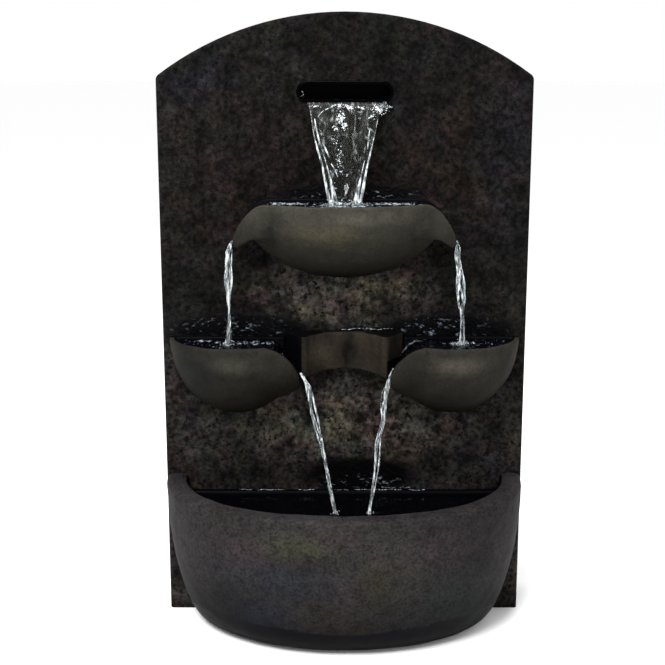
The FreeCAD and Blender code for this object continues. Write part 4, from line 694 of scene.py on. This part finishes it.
def falling_stream(knots, girth, seed):
    """A stream through its knots, as threads of water that part, cross and join again."""
    chance = random.Random(seed)
    bm = bmesh.new()
    for turn in range(THREADS):
        phase = chance.uniform(0, 6.3)
        twist = chance.uniform(4, 9) * chance.choice((-1, 1))
        points = []
        radii = []
        for step in range(THREAD_STEPS):
            share = step / (THREAD_STEPS - 1)
            x, out, z, width = spot_on(knots, share)
            aside = width * girth * (1.0 + 0.45 * noise.noise(Vector((share * 6, turn * 2.7, seed))))
            angle = phase + twist * share + turn * 1.3
            points.append(place(x + aside * math.sin(angle), out + aside * math.cos(angle), z))
            thin = 0.30 + 0.26 * noise.noise(Vector((share * 17, seed * 5 + turn * 3.1, 0)))
            radii.append(max(0.4, width * girth * thin))
        strand(bm, points, radii)
    return fused_mesh(bm, WATER_CELL, 1)


def drops(bm, chance, centre, spread, height, count, sizes, crowd=0.7, edge=1.05, fineness=1):
    """Throws drops up round a landing place, highest in the middle. A greater crowd packs them inwards."""
    x, out, z = centre
    for drop in range(count):
        turn = chance.uniform(0, 2 * math.pi)
        away = spread * chance.random() ** crowd
        near = 1 - away / (spread * edge)
        radius = chance.uniform(*sizes)
        made = bmesh.ops.create_icosphere(bm, subdivisions=fineness, radius=radius * MM)
        spot = place(x + away * math.cos(turn), out + away * 0.5 * math.sin(turn),
                     z + height * near * chance.random())
        bmesh.ops.translate(bm, verts=made["verts"], vec=spot)


class FountainSizes(bpy.types.PropertyGroup):
    """The sizes that a user may change"""
    bowl_cell: bpy.props.FloatProperty(
        name="Bowl detail", description="How fine the bowls' surface is",
        default=0.0021, min=0.001, max=0.006, unit="LENGTH")
    basin_cell: bpy.props.FloatProperty(
        name="Basin detail", description="How fine the basin's surface is",
        default=0.0032, min=0.002, max=0.008, unit="LENGTH")
    dent_depth: bpy.props.FloatProperty(
        name="Dents", description="How deep the dents of hand finishing are",
        default=0.0009, min=0.0, max=0.003, unit="LENGTH")
    chop: bpy.props.FloatProperty(
        name="Ripples", description="How high the pools' ripples are",
        default=0.0011, min=0.0, max=0.004, unit="LENGTH")
    sheet_top: bpy.props.FloatProperty(
        name="Sheet at the slot", description="The sheet's width as it leaves the slot",
        default=SHEET_WIDTH, min=0.04, max=0.123, unit="LENGTH")
    sheet_foot: bpy.props.FloatProperty(
        name="Sheet at the pool", description="The sheet's width as it lands",
        default=0.038, min=0.02, max=0.12, unit="LENGTH")
    stream_girth: bpy.props.FloatProperty(
        name="Streams' girth", description="How thick the spouts' streams are, as a factor",
        default=1.35, min=0.4, max=2.0, subtype="FACTOR")


class FountainColours(bpy.types.PropertyGroup):
    """The colours that a user may change"""
    slab: bpy.props.FloatVectorProperty(
        name="Slab", description="The slab's main tone", subtype="COLOR", size=4,
        default=linear("#1d1b1a"))
    bowls: bpy.props.FloatVectorProperty(
        name="Bowls", description="The bowls' main tone", subtype="COLOR", size=4,
        default=linear("#3f3d36"))
    bridge: bpy.props.FloatVectorProperty(
        name="Bridge", description="The bridge's main tone", subtype="COLOR", size=4,
        default=linear("#2a251f"))
    basin: bpy.props.FloatVectorProperty(
        name="Basin", description="The basin's main tone", subtype="COLOR", size=4,
        default=linear("#2b2929"))
    floor: bpy.props.FloatVectorProperty(
        name="Floor", description="The studio floor's colour", subtype="COLOR", size=4,
        default=linear("#fdfdfd"))


class FOUNTAIN_OT_slab(bpy.types.Operator):
    """Gives the arched slab its riven, stained stone"""
    bl_idname = "fountain.slab"
    bl_label = "Slab"

    def execute(self, context):
        stone = riven_slab(context.scene.fountain_colours.slab)
        for slot in frame["nodes"]["wall_panel"].material_slots:
            slot.material = stone
        return {"FINISHED"}


# Painted shade: how pale a casting is at shares of its height, from its foot to its rim
UPPER_SHADES = ((0.0, 0.05), (0.12, 0.2), (0.3, 0.42), (0.6, 0.57), (0.86, 0.93))
LOWER_SHADES = ((0.0, 0.08), (0.12, 0.34), (0.3, 0.56), (0.6, 0.72), (0.86, 0.92))
BRIDGE_SHADES = ((0.0, 0.7), (0.5, 1.0))
BASIN_SHADES = ((0.0, 0.05), (0.2, 0.40), (0.3, 0.52), (0.47, 0.74), (0.69, 0.94), (0.9, 1.0))
# The castings' stains, painted highlights and painted shade: colour, middle (x and height), half-sizes in
# millimetres, and strength
STAINS_AND_PAINTED_LIGHT = {
    # Upper bowl: the two pale patches high in the middle are painted highlights, the dark ones at x ±100
    # painted shade under the spouts; the rest are stains
    "upper_bowl": (
        ("#55503f", ((-30, 566), (74, 26)), 0.6), ("#524f46", ((28, 590), (84, 15)), 0.7),
        ("#34372a", ((-24, 552), (60, 16)), 0.6), ("#1b1a17", ((-100, 574), (26, 44)), 0.75),
        ("#191a17", ((100, 570), (32, 42)), 0.7), ("#3c3b31", ((45, 560), (50, 24)), 0.5)),
    # Left lower bowl: the pale patch is a painted highlight and the dark one at its outer end painted shade;
    # the last is a stain
    "left_bowl": (
        ("#3d3c34", ((-145, 388), (56, 20)), 0.75), ("#101417", ((-212, 365), (52, 60)), 0.85),
        ("#292423", ((-95, 372), (28, 20)), 0.5)),
    # Right lower bowl: the pale patch is a painted highlight and the dark one at its outer end painted
    # shade; the last is a stain
    "right_bowl": (
        ("#504a43", ((152, 386), (52, 20)), 0.75), ("#201e1d", ((226, 380), (34, 50)), 0.7),
        ("#2a2521", ((92, 370), (24, 22)), 0.6)),
    # Bridge: the near-black streak in the middle is painted shade in its hollow, the pale patch on the left
    # a painted highlight; the last is a stain
    "bowl_bridge": (
        ("#060505", ((5, 388), (16, 50)), 0.95), ("#3a352b", ((-32, 390), (24, 30)), 0.6),
        ("#2b2521", ((36, 388), (22, 26)), 0.6)),
    "basin": (
        ("#3d3d2e", ((-65, 172), (100, 34)), 0.6), ("#3b2f34", ((-140, 160), (60, 50)), 0.5),
        ("#3c3030", ((-8, 188), (60, 22)), 0.45), ("#3a3033", ((120, 165), (110, 44)), 0.5),
        ("#2d3037", ((-95, 122), (140, 44)), 0.6), ("#363327", ((53, 122), (62, 64)), 0.65),
        ("#3a3134", ((-6, 96), (44, 60)), 0.5), ("#3a342e", ((-33, 60), (80, 50)), 0.5),
        ("#33352a", ((4, 26), (60, 34)), 0.5), ("#25302e", ((152, 66), (90, 80)), 0.65),
        ("#292d39", ((-108, 62), (80, 44)), 0.6)),
}


class FOUNTAIN_OT_castings(bpy.types.Operator):
    """Gives the bowls, the bridge and the basin the soft edges and uneven skin of hand-finished castings"""
    bl_idname = "fountain.castings"
    bl_label = "Castings"

    def execute(self, context):
        sizes = context.scene.fountain_sizes
        colours = context.scene.fountain_colours
        # The material's name, its tone, the size of clouds and of specks, contrast, foot and rim, and
        # painted shades.
        # The bowls share one stone; the lower bowls' tones are darker, the left one most, as painted shade
        looks = {
            "upper_bowl": (
                "CastStoneUpperBowl", shaded(colours.bowls, 0.62), 55, 1.8, 0.3, (497, 603), UPPER_SHADES),
            "left_bowl": (
                "CastStoneLeftBowl", shaded(colours.bowls, 0.31), 50, 1.8, 0.3, (304, 410), LOWER_SHADES),
            "right_bowl": (
                "CastStoneRightBowl", shaded(colours.bowls, 0.44), 50, 1.8, 0.3, (304, 410), LOWER_SHADES),
            "bowl_bridge": (
                "CastStoneBridge", shaded(colours.bridge, 0.84), 26, 2.2, 0.35, (350, 424), BRIDGE_SHADES),
            "basin": (
                "CastStoneBasin", shaded(colours.basin, 0.96), 70, 2.0, 0.6, (0, 205), BASIN_SHADES),
        }
        # The node, its slot, the cell of its new skin, how often that is softened, and where it is black, as
        # wet stone and as painted shade
        jobs = (
            ("upper_bowl", "bowl_stone", sizes.bowl_cell, 8, upper_wet_and_shade),
            ("left_bowl", "bowl_stone", sizes.bowl_cell, 8, lower_wet_and_shade),
            ("right_bowl", "bowl_stone", sizes.bowl_cell, 8, lower_wet_and_shade),
            ("bowl_bridge", "bridge_stone", 0.0016, 5, bridge_wet),
            ("basin", "basin_stone", sizes.basin_cell, 3, basin_wet_and_shade),
        )
        for count, (node, slot, cell, smoothing, rule) in enumerate(jobs):
            mesh = fused_mesh(cad_copy(node), cell / MM, smoothing)
            if node in SPOUT_ROOTS:
                eased(mesh, *SPOUT_ROOTS[node])
            dent(mesh, sizes.dent_depth / MM, DENT_SIZE, Vector((count * 3.7, 1.3, 0)))
            # The wet share also holds the painted shade inside the bowls and the basin
            measured(mesh, "wet", rule)
            stone = smooth_casting(*looks[node], STAINS_AND_PAINTED_LIGHT[node])
            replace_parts(keep(node + "_casting", mesh, stone), node)
        return {"FINISHED"}


class FOUNTAIN_OT_pools(bpy.types.Operator):
    """Fills the bowls and the basin with water, and places the froth and painted glints on it"""
    bl_idname = "fountain.pools"
    bl_label = "Pools"

    def execute(self, context):
        chop = context.scene.fountain_sizes.chop / MM
        lively = pool_water("WaterUpperBowl", 0.9, 0.06, "#020205",
                            (((0, 45), (60, 60)), ((-75, 25), (40, 24)), ((70, 30), (50, 24))))
        sides = pool_water("WaterLowerBowls", 0.9, 0.02, "#020205",
                           (((-122, 30), (46, 20)), ((-160, 40), (18, 18)), ((-195, 20), (26, 12)),
                            ((165, 33), (50, 9)), ((162, 41), (18, 18)), ((92, 16), (30, 10))))
        calm = pool_water("WaterBasin", 0.2, -0.10, "#020204",
                          (((12, 176), (16, 12)), ((-130, 30), (22, 9))))
        keep("upper_pool", water_layer(-151, 151, lambda x: POOL_BACK, upper_front, upper_level,
                                       120, 40, chop), lively)
        for name, ends in (("left_pool", (-235.5, -60.0)), ("right_pool", (60.0, 235.5))):
            keep(name, water_layer(*ends, lower_back, lower_front, lower_level, 96, 40, chop), sides)
        keep("basin_pool", water_layer(-222.5, 222.5, lambda x: POOL_BACK, lambda x: basin_front(x, -4.2),
                                       lambda x: BASIN_LEVEL, 150, 70, chop * 0.5), calm)
        return {"FINISHED"}


# The white cords in the sheet, after the photograph: x, height and radius in millimetres
SHEET_CORDS = (
    ((-48, 735, 0.35), (-47, 729, 0.4), (-44.2, 710.6, 0.45), (-41.5, 691, 0.9), (-36.1, 671.6, 1.5),
     (-30.8, 654.6, 1.3), (-27.6, 639, 1.8), (-23.7, 619, 2.0), (-19.4, 599.5, 2.6)),
    ((-40.5, 713, 0.8), (-37.8, 697.6, 1.4), (-33.8, 682, 1.2), (-29.1, 669, 0.8), (-24.1, 652, 0.8),
     (-19.7, 635, 1.5), (-15.4, 619, 2.8), (-11.5, 599.5, 3.4)),
    ((-30.1, 683, 0.7), (-26.7, 675, 1.9), (-20.4, 662, 0.8)),
    ((-18.7, 654.6, 0.6), (-13.4, 648, 1.4), (-9.4, 637, 0.8)),
    ((-21.4, 637.6, 1.1), (-17.7, 627, 2.4), (-15, 614, 3.0), (-14, 599.5, 3.4)),
    ((47, 729, 0.3), (44.2, 713, 0.35), (41.5, 697.6, 0.6), (37.5, 682, 0.9), (33.4, 665, 1.3),
     (29.4, 648, 1.3), (26.1, 632, 2.0), (24.1, 619, 2.4), (19.5, 599.5, 2.4)),
    ((33.5, 699, 0.5), (31.6, 687.6, 1.2), (30.4, 673, 0.5)),
    ((26.4, 658.5, 0.5), (22.4, 641.5, 1.0), (18.7, 622, 1.9), (15.4, 599.5, 2.6)),
    ((19.4, 632, 0.8), (17, 618, 1.8), (11, 600, 2.2)),
    ((2.7, 628.4, 1.2), (2.2, 621, 3.4), (1.6, 614.3, 1.1)),
    ((-36.2, 714.5, 0.5), (-33.5, 719.7, 0.6), (-28.2, 723.6, 0.5)),
    ((-27, 724, 0.6), (-20, 727, 1.0), (-11, 731, 1.2), (0, 731, 1.3), (8, 728, 1.1), (14, 723, 0.6)),
)
# Heaps of bubbles in the sheet: x and height of the middle, half-width and half-height, and how many
SHEET_BUBBLES = (
    (-7, 729, 13, 4.5, 80), (8, 727, 6, 4.5, 40), (-6, 714, 6.5, 9, 120), (0, 703, 5, 6, 60),
    (-13, 700, 8, 6, 30), (-14, 684, 9, 10, 34), (-6, 668, 7, 16, 40), (-8, 650, 8, 10, 34),
    (0, 640, 6, 9, 24), (2, 622, 5, 7, 18), (46, 725, 15, 8, 140), (26, 727, 12, 2.6, 40),
    (-40, 729, 12, 2, 40), (36, 715, 9, 4, 18), (-16, 606, 9, 8, 44), (17, 604, 7, 7, 34),
    (-16, 622, 5, 10, 24), (20, 622, 4, 8, 16),
)


class FOUNTAIN_OT_sheet(bpy.types.Operator):
    """Lets the sheet of water fall from the slot, drawn in to a narrow foot by its own surface"""
    bl_idname = "fountain.sheet"
    bl_label = "Sheet of water"

    def execute(self, context):
        sizes = context.scene.fountain_sizes
        top = sizes.sheet_top / MM / 2
        foot = sizes.sheet_foot / MM / 2
        fall = SHEET_TOP - UPPER_LEVEL + 1.5
        spread = sizes.sheet_top / SHEET_WIDTH

        def out_at(z):
            return SHEET_START + SHEET_REACH * math.sqrt(min(1.0, max(0.0, (SHEET_TOP - z) / fall)))

        bm = bmesh.new()
        bmesh.ops.create_grid(bm, x_segments=60, y_segments=90, size=1)
        for vertex in bm.verts:
            across = vertex.co.x
            share = (1 - vertex.co.y) / 2
            half = top + (foot - top) * share ** 0.80
            z = SHEET_TOP - fall * share
            lump = noise.noise(Vector((across * 4, share * 3.2, 4.4)))
            out = out_at(z) + 2.0 * lump * min(1.0, share * 4)
            wander = 1 + 0.05 * noise.noise(Vector((share * 7, 3.0 * (across > 0), 1))) * min(1.0, share * 5)
            vertex.co = place(across * half * wander, out, z)
        bmesh.ops.recalc_face_normals(bm, faces=bm.faces)
        bmesh.ops.solidify(bm, geom=bm.faces[:], thickness=1.2 * MM)
        bmesh.ops.recalc_face_normals(bm, faces=bm.faces)
        keep("water_sheet", mesh_of(bm), clear_sheet("WaterSheet"))
        bm = bmesh.new()
        for knots in SHEET_CORDS:
            points = [place(x * spread, out_at(z) + 1.2, z) for x, z, radius in knots]
            strand(bm, points, [radius for x, z, radius in knots])
        keep("sheet_cords", fused_mesh(bm, 0.6, 1), white_water("WaterCords", 0.25, 2.6, 0.22, 0.06))
        chance = random.Random(11)
        bm = bmesh.new()
        for x, z, wide, high, count in SHEET_BUBBLES:
            for bubble in range(count):
                turn = chance.uniform(0, 2 * math.pi)
                away = chance.random() ** 0.7
                level = z + high * away * math.sin(turn)
                radius = chance.uniform(0.45, 1.35) * (1.1 - 0.5 * away)
                made = bmesh.ops.create_icosphere(bm, subdivisions=1, radius=radius * MM)
                spot = place((x + wide * away * math.cos(turn)) * spread,
                             out_at(level) + chance.uniform(0.4, 2.2), level)
                bmesh.ops.translate(bm, verts=made["verts"], vec=spot)
        bubbles = white_water("WaterBubbles", 0.4, 2.2, 0.8, 0.07)
        keep("sheet_bubbles", fused_mesh(bm, WATER_CELL, 1), bubbles)
        return {"FINISHED"}


# Each stream's knots: x, distance in front of the slab, height and half-width, in millimetres
STREAMS = {
    "upper_left_stream": (
        (-153.5, 21, 549, 0.5), (-156, 25, 543, 1.8), (-157, 28, 532, 3.0), (-158.4, 31, 514, 2.9),
        (-158.6, 34, 490, 3.0), (-159.3, 37, 465, 1.7), (-159.3, 38, 452, 1.6), (-159.2, 39, 438, 2.2),
        (-159.2, 40, 424, 2.6), (-160.5, 41, 406, 2.4)),
    "upper_right_stream": (
        (153, 21, 549, 0.5), (154, 25, 542, 1.8), (154.6, 28, 532, 2.6), (157, 31, 512, 3.0),
        (158.7, 34, 490, 3.7), (159.5, 37, 468, 3.2), (160, 38, 455, 1.7), (161.3, 39, 440, 1.7),
        (161.5, 40, 424, 1.8), (161.8, 41, 406, 2.4)),
    "lower_left_stream": (
        (-61, 50, 371, 1.0), (-55.5, 53, 362, 1.8), (-49.4, 56, 352, 2.6), (-45.3, 60, 334, 2.7),
        (-41.6, 64, 315, 2.6), (-35.7, 70, 290, 2.2), (-29.6, 75, 262, 2.0), (-22.1, 82, 224, 1.7),
        (-12.2, 88, 178, 1.4)),
    "lower_right_stream": (
        (68, 50, 377, 1.0), (63, 53, 366, 1.6), (60, 56, 357, 2.2), (54.6, 59, 343, 2.7),
        (53.1, 62, 326, 2.4), (53.1, 66, 308, 2.2), (48.7, 69, 291, 2.0), (45.7, 72, 276, 2.3),
        (44.7, 79, 244, 2.1), (39.8, 84, 211, 1.8), (34, 88, 178, 1.8)),
}


class FOUNTAIN_OT_streams(bpy.types.Operator):
    """Pours the streams from the four spouts, down to the pools below"""
    bl_idname = "fountain.streams"
    bl_label = "Streams"

    def execute(self, context):
        girth = context.scene.fountain_sizes.stream_girth
        material = white_water("WaterStreams", 0.25, 2.2, 0.14, 0.03)
        for seed, (name, knots) in enumerate(STREAMS.items()):
            keep(name, falling_stream(knots, girth, seed + 1), material)
        return {"FINISHED"}


# Threads of water along the bridge's back edge and the basin's, white as painted glints: from x to x, the
# distance in front of the slab and the height, in millimetres
GLINTS = (
    (-4, 14, 3.0, 421.2), (11, 40, 3.0, 422.4), (36, 53, 3.0, 421.0), (54, 67, 3.0, 422.0),
    (-150, -132, 9, 186.6), (-124, -84, 9, 186.5), (-66, -42, 9, 186.6), (-14, 6, 9, 186.5),
    (14, 82, 9, 186.6), (92, 116, 9, 186.4), (54, 74, 2, 187.6), (80, 96, 2, 187.4),
)
# Where water lands or leaves the slot: the middle, how far the beads fly and how high, their number and
# their sizes, in millimetres; and the same for the heaps of froth
BEADS = (
    ((1, 42, 601), 30, 9, 90, (0.4, 1.15)), ((-160, 41, 409), 20, 9, 46, (0.4, 1.15)),
    ((162, 41, 409), 20, 9, 46, (0.4, 1.15)), ((-12, 88, 180), 9, 9, 14, (0.4, 1.15)),
    ((34, 88, 180), 9, 9, 14, (0.4, 1.15)), ((52, 3, 727), 13, 9, 90, (0.4, 1.1)),
    # Painted glints at the nozzle's left end, as tiny white beads
    ((-58, 1, 741), 4, 10, 12, (0.3, 0.7)),
)
FROTH = (
    ((-10, 44, 601), 14, 4, 26), ((13, 44, 601), 10, 4, 18), ((-160, 41, 408), 8, 6, 14),
    ((162, 41, 408), 8, 6, 14), ((-12, 88, 180), 5, 3, 7), ((34, 88, 180), 5, 3, 7),
)


class FOUNTAIN_OT_splashes(bpy.types.Operator):
    """Scatters froth, beads and threads of water where it lands and along the back edges; the threads and
    the beads at the nozzle are painted glints
    """
    bl_idname = "fountain.splashes"
    bl_label = "Splashes"

    def execute(self, context):
        chance = random.Random(7)
        froth_and_glints = white_water("WaterFrothAndGlints", 0.4, 2, 0.8)
        bm = bmesh.new()
        for landing in BEADS:
            drops(bm, chance, *landing)
        keep("splash_beads", mesh_of(bm), froth_and_glints)
        bm = bmesh.new()
        for landing in FROTH:
            drops(bm, chance, *landing, (1.1, 2.6), 1, 1, 2)
        keep("foam", fused_mesh(bm, 0.8, 1), froth_and_glints)
        bm = bmesh.new()
        for first, last, back, level in GLINTS:
            points = []
            radii = []
            steps = 6 + int((last - first) / 2)
            for step in range(steps):
                x = first + (last - first) * step / (steps - 1)
                sway = noise.noise(Vector((x / 5, level, 0)))
                points.append(place(x, back, level + 1.1 * sway))
                radii.append(0.5 + 0.5 * noise.noise(Vector((x / 3, level, 3))))
            strand(bm, points, radii)
        keep("glints", fused_mesh(bm, 0.5, 1), froth_and_glints)
        return {"FINISHED"}


class FOUNTAIN_OT_fittings(bpy.types.Operator):
    """Finishes the nozzle, the back and the hidden pump, hoses and fastenings"""
    bl_idname = "fountain.fittings"
    bl_label = "Fittings"

    def execute(self, context):
        finishes = {
            # Injection-moulded, from a polished mould: deep black and glossy
            "spillway_plastic": moulded("AbsGlossMoulded", "#000001", "#010102", 0.25, 3, 0.02),
            # Vacuum-formed sheet, grained on its outer face: dull
            "cover_plastic": moulded("AbsSheetGrained", "#17181a", "#1e1f21", 0.55, 1.2),
            # Injection-moulded, from a spark-eroded mould: satin, black for the pump and grey for its rotor
            "pump_plastic": moulded("AbsPumpMoulded", "#0e0f11", "#15161a", 0.45, 0.9),
            "rotor_plastic": moulded("PpsRotorMoulded", "#2b2e33", "#34373d", 0.4, 1.0),
            # Self-coloured acetal, smooth and slightly waxy, so that the dial is found by its blue
            "dial_plastic": moulded("AcetalDialMoulded", "#26313a", "#2d3a44", 0.38, 1.0),
            # Injection-moulded nylon: nearly black and satin
            "fitting_plastic": moulded("NylonMoulded", "#1b1c1e", "#232427", 0.48, 1.0),
            # Extruded soft vinyl: smoky and shiny, with a skin like varnish
            "hose_vinyl": moulded("VinylExtruded", "#3a4043", "#454b4e", 0.3, 4.0, 0.5, 0.3),
            # Pressed rubber filled with soot: matt and black
            "black_rubber": moulded("EpdmMoulded", "#0b0b0b", "#121212", 0.7, 0.7, 0.3),
            # Stainless steel and brass, turned: one cool and bright, the other warm
            "steel": turned_metal("StainlessTurned", "#a9abad", "#d4d4d2", 0.32),
            "insert_brass": turned_metal("BrassTurned", "#a57f3c", "#cda457", 0.3),
            "zinc_sheet": zinc_sheet("ZincDippedSheet"),
            # Fired and ground alumina: ivory, smooth and hard
            "shaft_ceramic": moulded("AluminaGround", "#dcd9cf", "#e6e3da", 0.25, 1.0),
        }
        for row in frame["record"]["subparts"]:
            if row["material_slot"] in finishes:
                for slot in frame["nodes"][row["node"]].material_slots:
                    slot.material = finishes[row["material_slot"]]
        return {"FINISHED"}


class FOUNTAIN_OT_stage(bpy.types.Operator):
    """Sets up the pale floor, the soft lights and the camera"""
    bl_idname = "fountain.stage"
    bl_label = "Studio"

    def execute(self, context):
        scene = context.scene
        bm = bmesh.new()
        bmesh.ops.create_circle(bm, cap_ends=True, segments=96, radius=40)
        mesh = mesh_of(bm)
        mesh.name = "studio_floor"
        mesh.materials.append(studio_paper(scene.fountain_colours.floor))
        floor = bpy.data.objects.new("studio_floor", mesh)
        scene.collection.objects.link(floor)
        world = bpy.data.worlds.new("StudioAir")
        world.use_nodes = True
        scene.world = world
        fill(world.node_tree, world.node_tree.nodes["Background"], {"Color": WHITE, "Strength": 1.0})
        middle = Vector((0, 0, 0.42))
        for name, where, size, power in (("key", (-0.9, -2.0, 2.7), 1.1, 120),
                                         ("top", (0.0, -0.35, 2.6), 0.8, 45)):
            lamp = bpy.data.lights.new(name, "AREA")
            lamp.shape = "DISK"
            lamp.size = size
            lamp.energy = power
            holder = bpy.data.objects.new(name, lamp)
            holder.location = where
            holder.rotation_euler = (middle - Vector(where)).to_track_quat("-Z", "Y").to_euler()
            scene.collection.objects.link(holder)
        camera = bpy.data.cameras.new("camera")
        camera.sensor_width = SENSOR
        camera.lens = SENSOR * FOCAL_PIXELS / PICTURE_PIXELS
        camera.clip_end = 200
        holder = bpy.data.objects.new("camera", camera)
        holder.location = (CAMERA_X, FACE - CAMERA_AWAY, CAMERA_HEIGHT)
        holder.rotation_euler = (math.radians(90 - CAMERA_TILT), 0, 0)
        scene.collection.objects.link(holder)
        scene.camera = holder
        scene.view_settings.view_transform = "Standard"
        return {"FINISHED"}


STEPS = (FOUNTAIN_OT_stage, FOUNTAIN_OT_slab, FOUNTAIN_OT_castings, FOUNTAIN_OT_pools, FOUNTAIN_OT_sheet,
         FOUNTAIN_OT_streams, FOUNTAIN_OT_splashes, FOUNTAIN_OT_fittings)


class FOUNTAIN_PT_panel(bpy.types.Panel):
    """Lists the fountain's sizes, colours and steps in the sidebar"""
    bl_label = "Garden wall fountain"
    bl_idname = "FOUNTAIN_PT_panel"
    bl_space_type = "VIEW_3D"
    bl_region_type = "UI"
    bl_category = "Fountain"

    def draw(self, context):
        for group, kind in ((context.scene.fountain_sizes, FountainSizes),
                            (context.scene.fountain_colours, FountainColours)):
            for name in kind.__annotations__:
                self.layout.prop(group, name)
        for step in STEPS:
            self.layout.operator(step.bl_idname)


CLASSES = (FountainSizes, FountainColours, *STEPS, FOUNTAIN_PT_panel)


def register():
    for kind in CLASSES:
        bpy.utils.register_class(kind)
    bpy.types.Scene.fountain_sizes = bpy.props.PointerProperty(type=FountainSizes)
    bpy.types.Scene.fountain_colours = bpy.props.PointerProperty(type=FountainColours)


def unregister():
    del bpy.types.Scene.fountain_sizes
    del bpy.types.Scene.fountain_colours
    for kind in reversed(CLASSES):
        bpy.utils.unregister_class(kind)


def main():
    register()
    for step in STEPS:
        family, name = step.bl_idname.split(".")
        getattr(getattr(bpy.ops, family), name)()


if __name__ == "__main__":
    main()
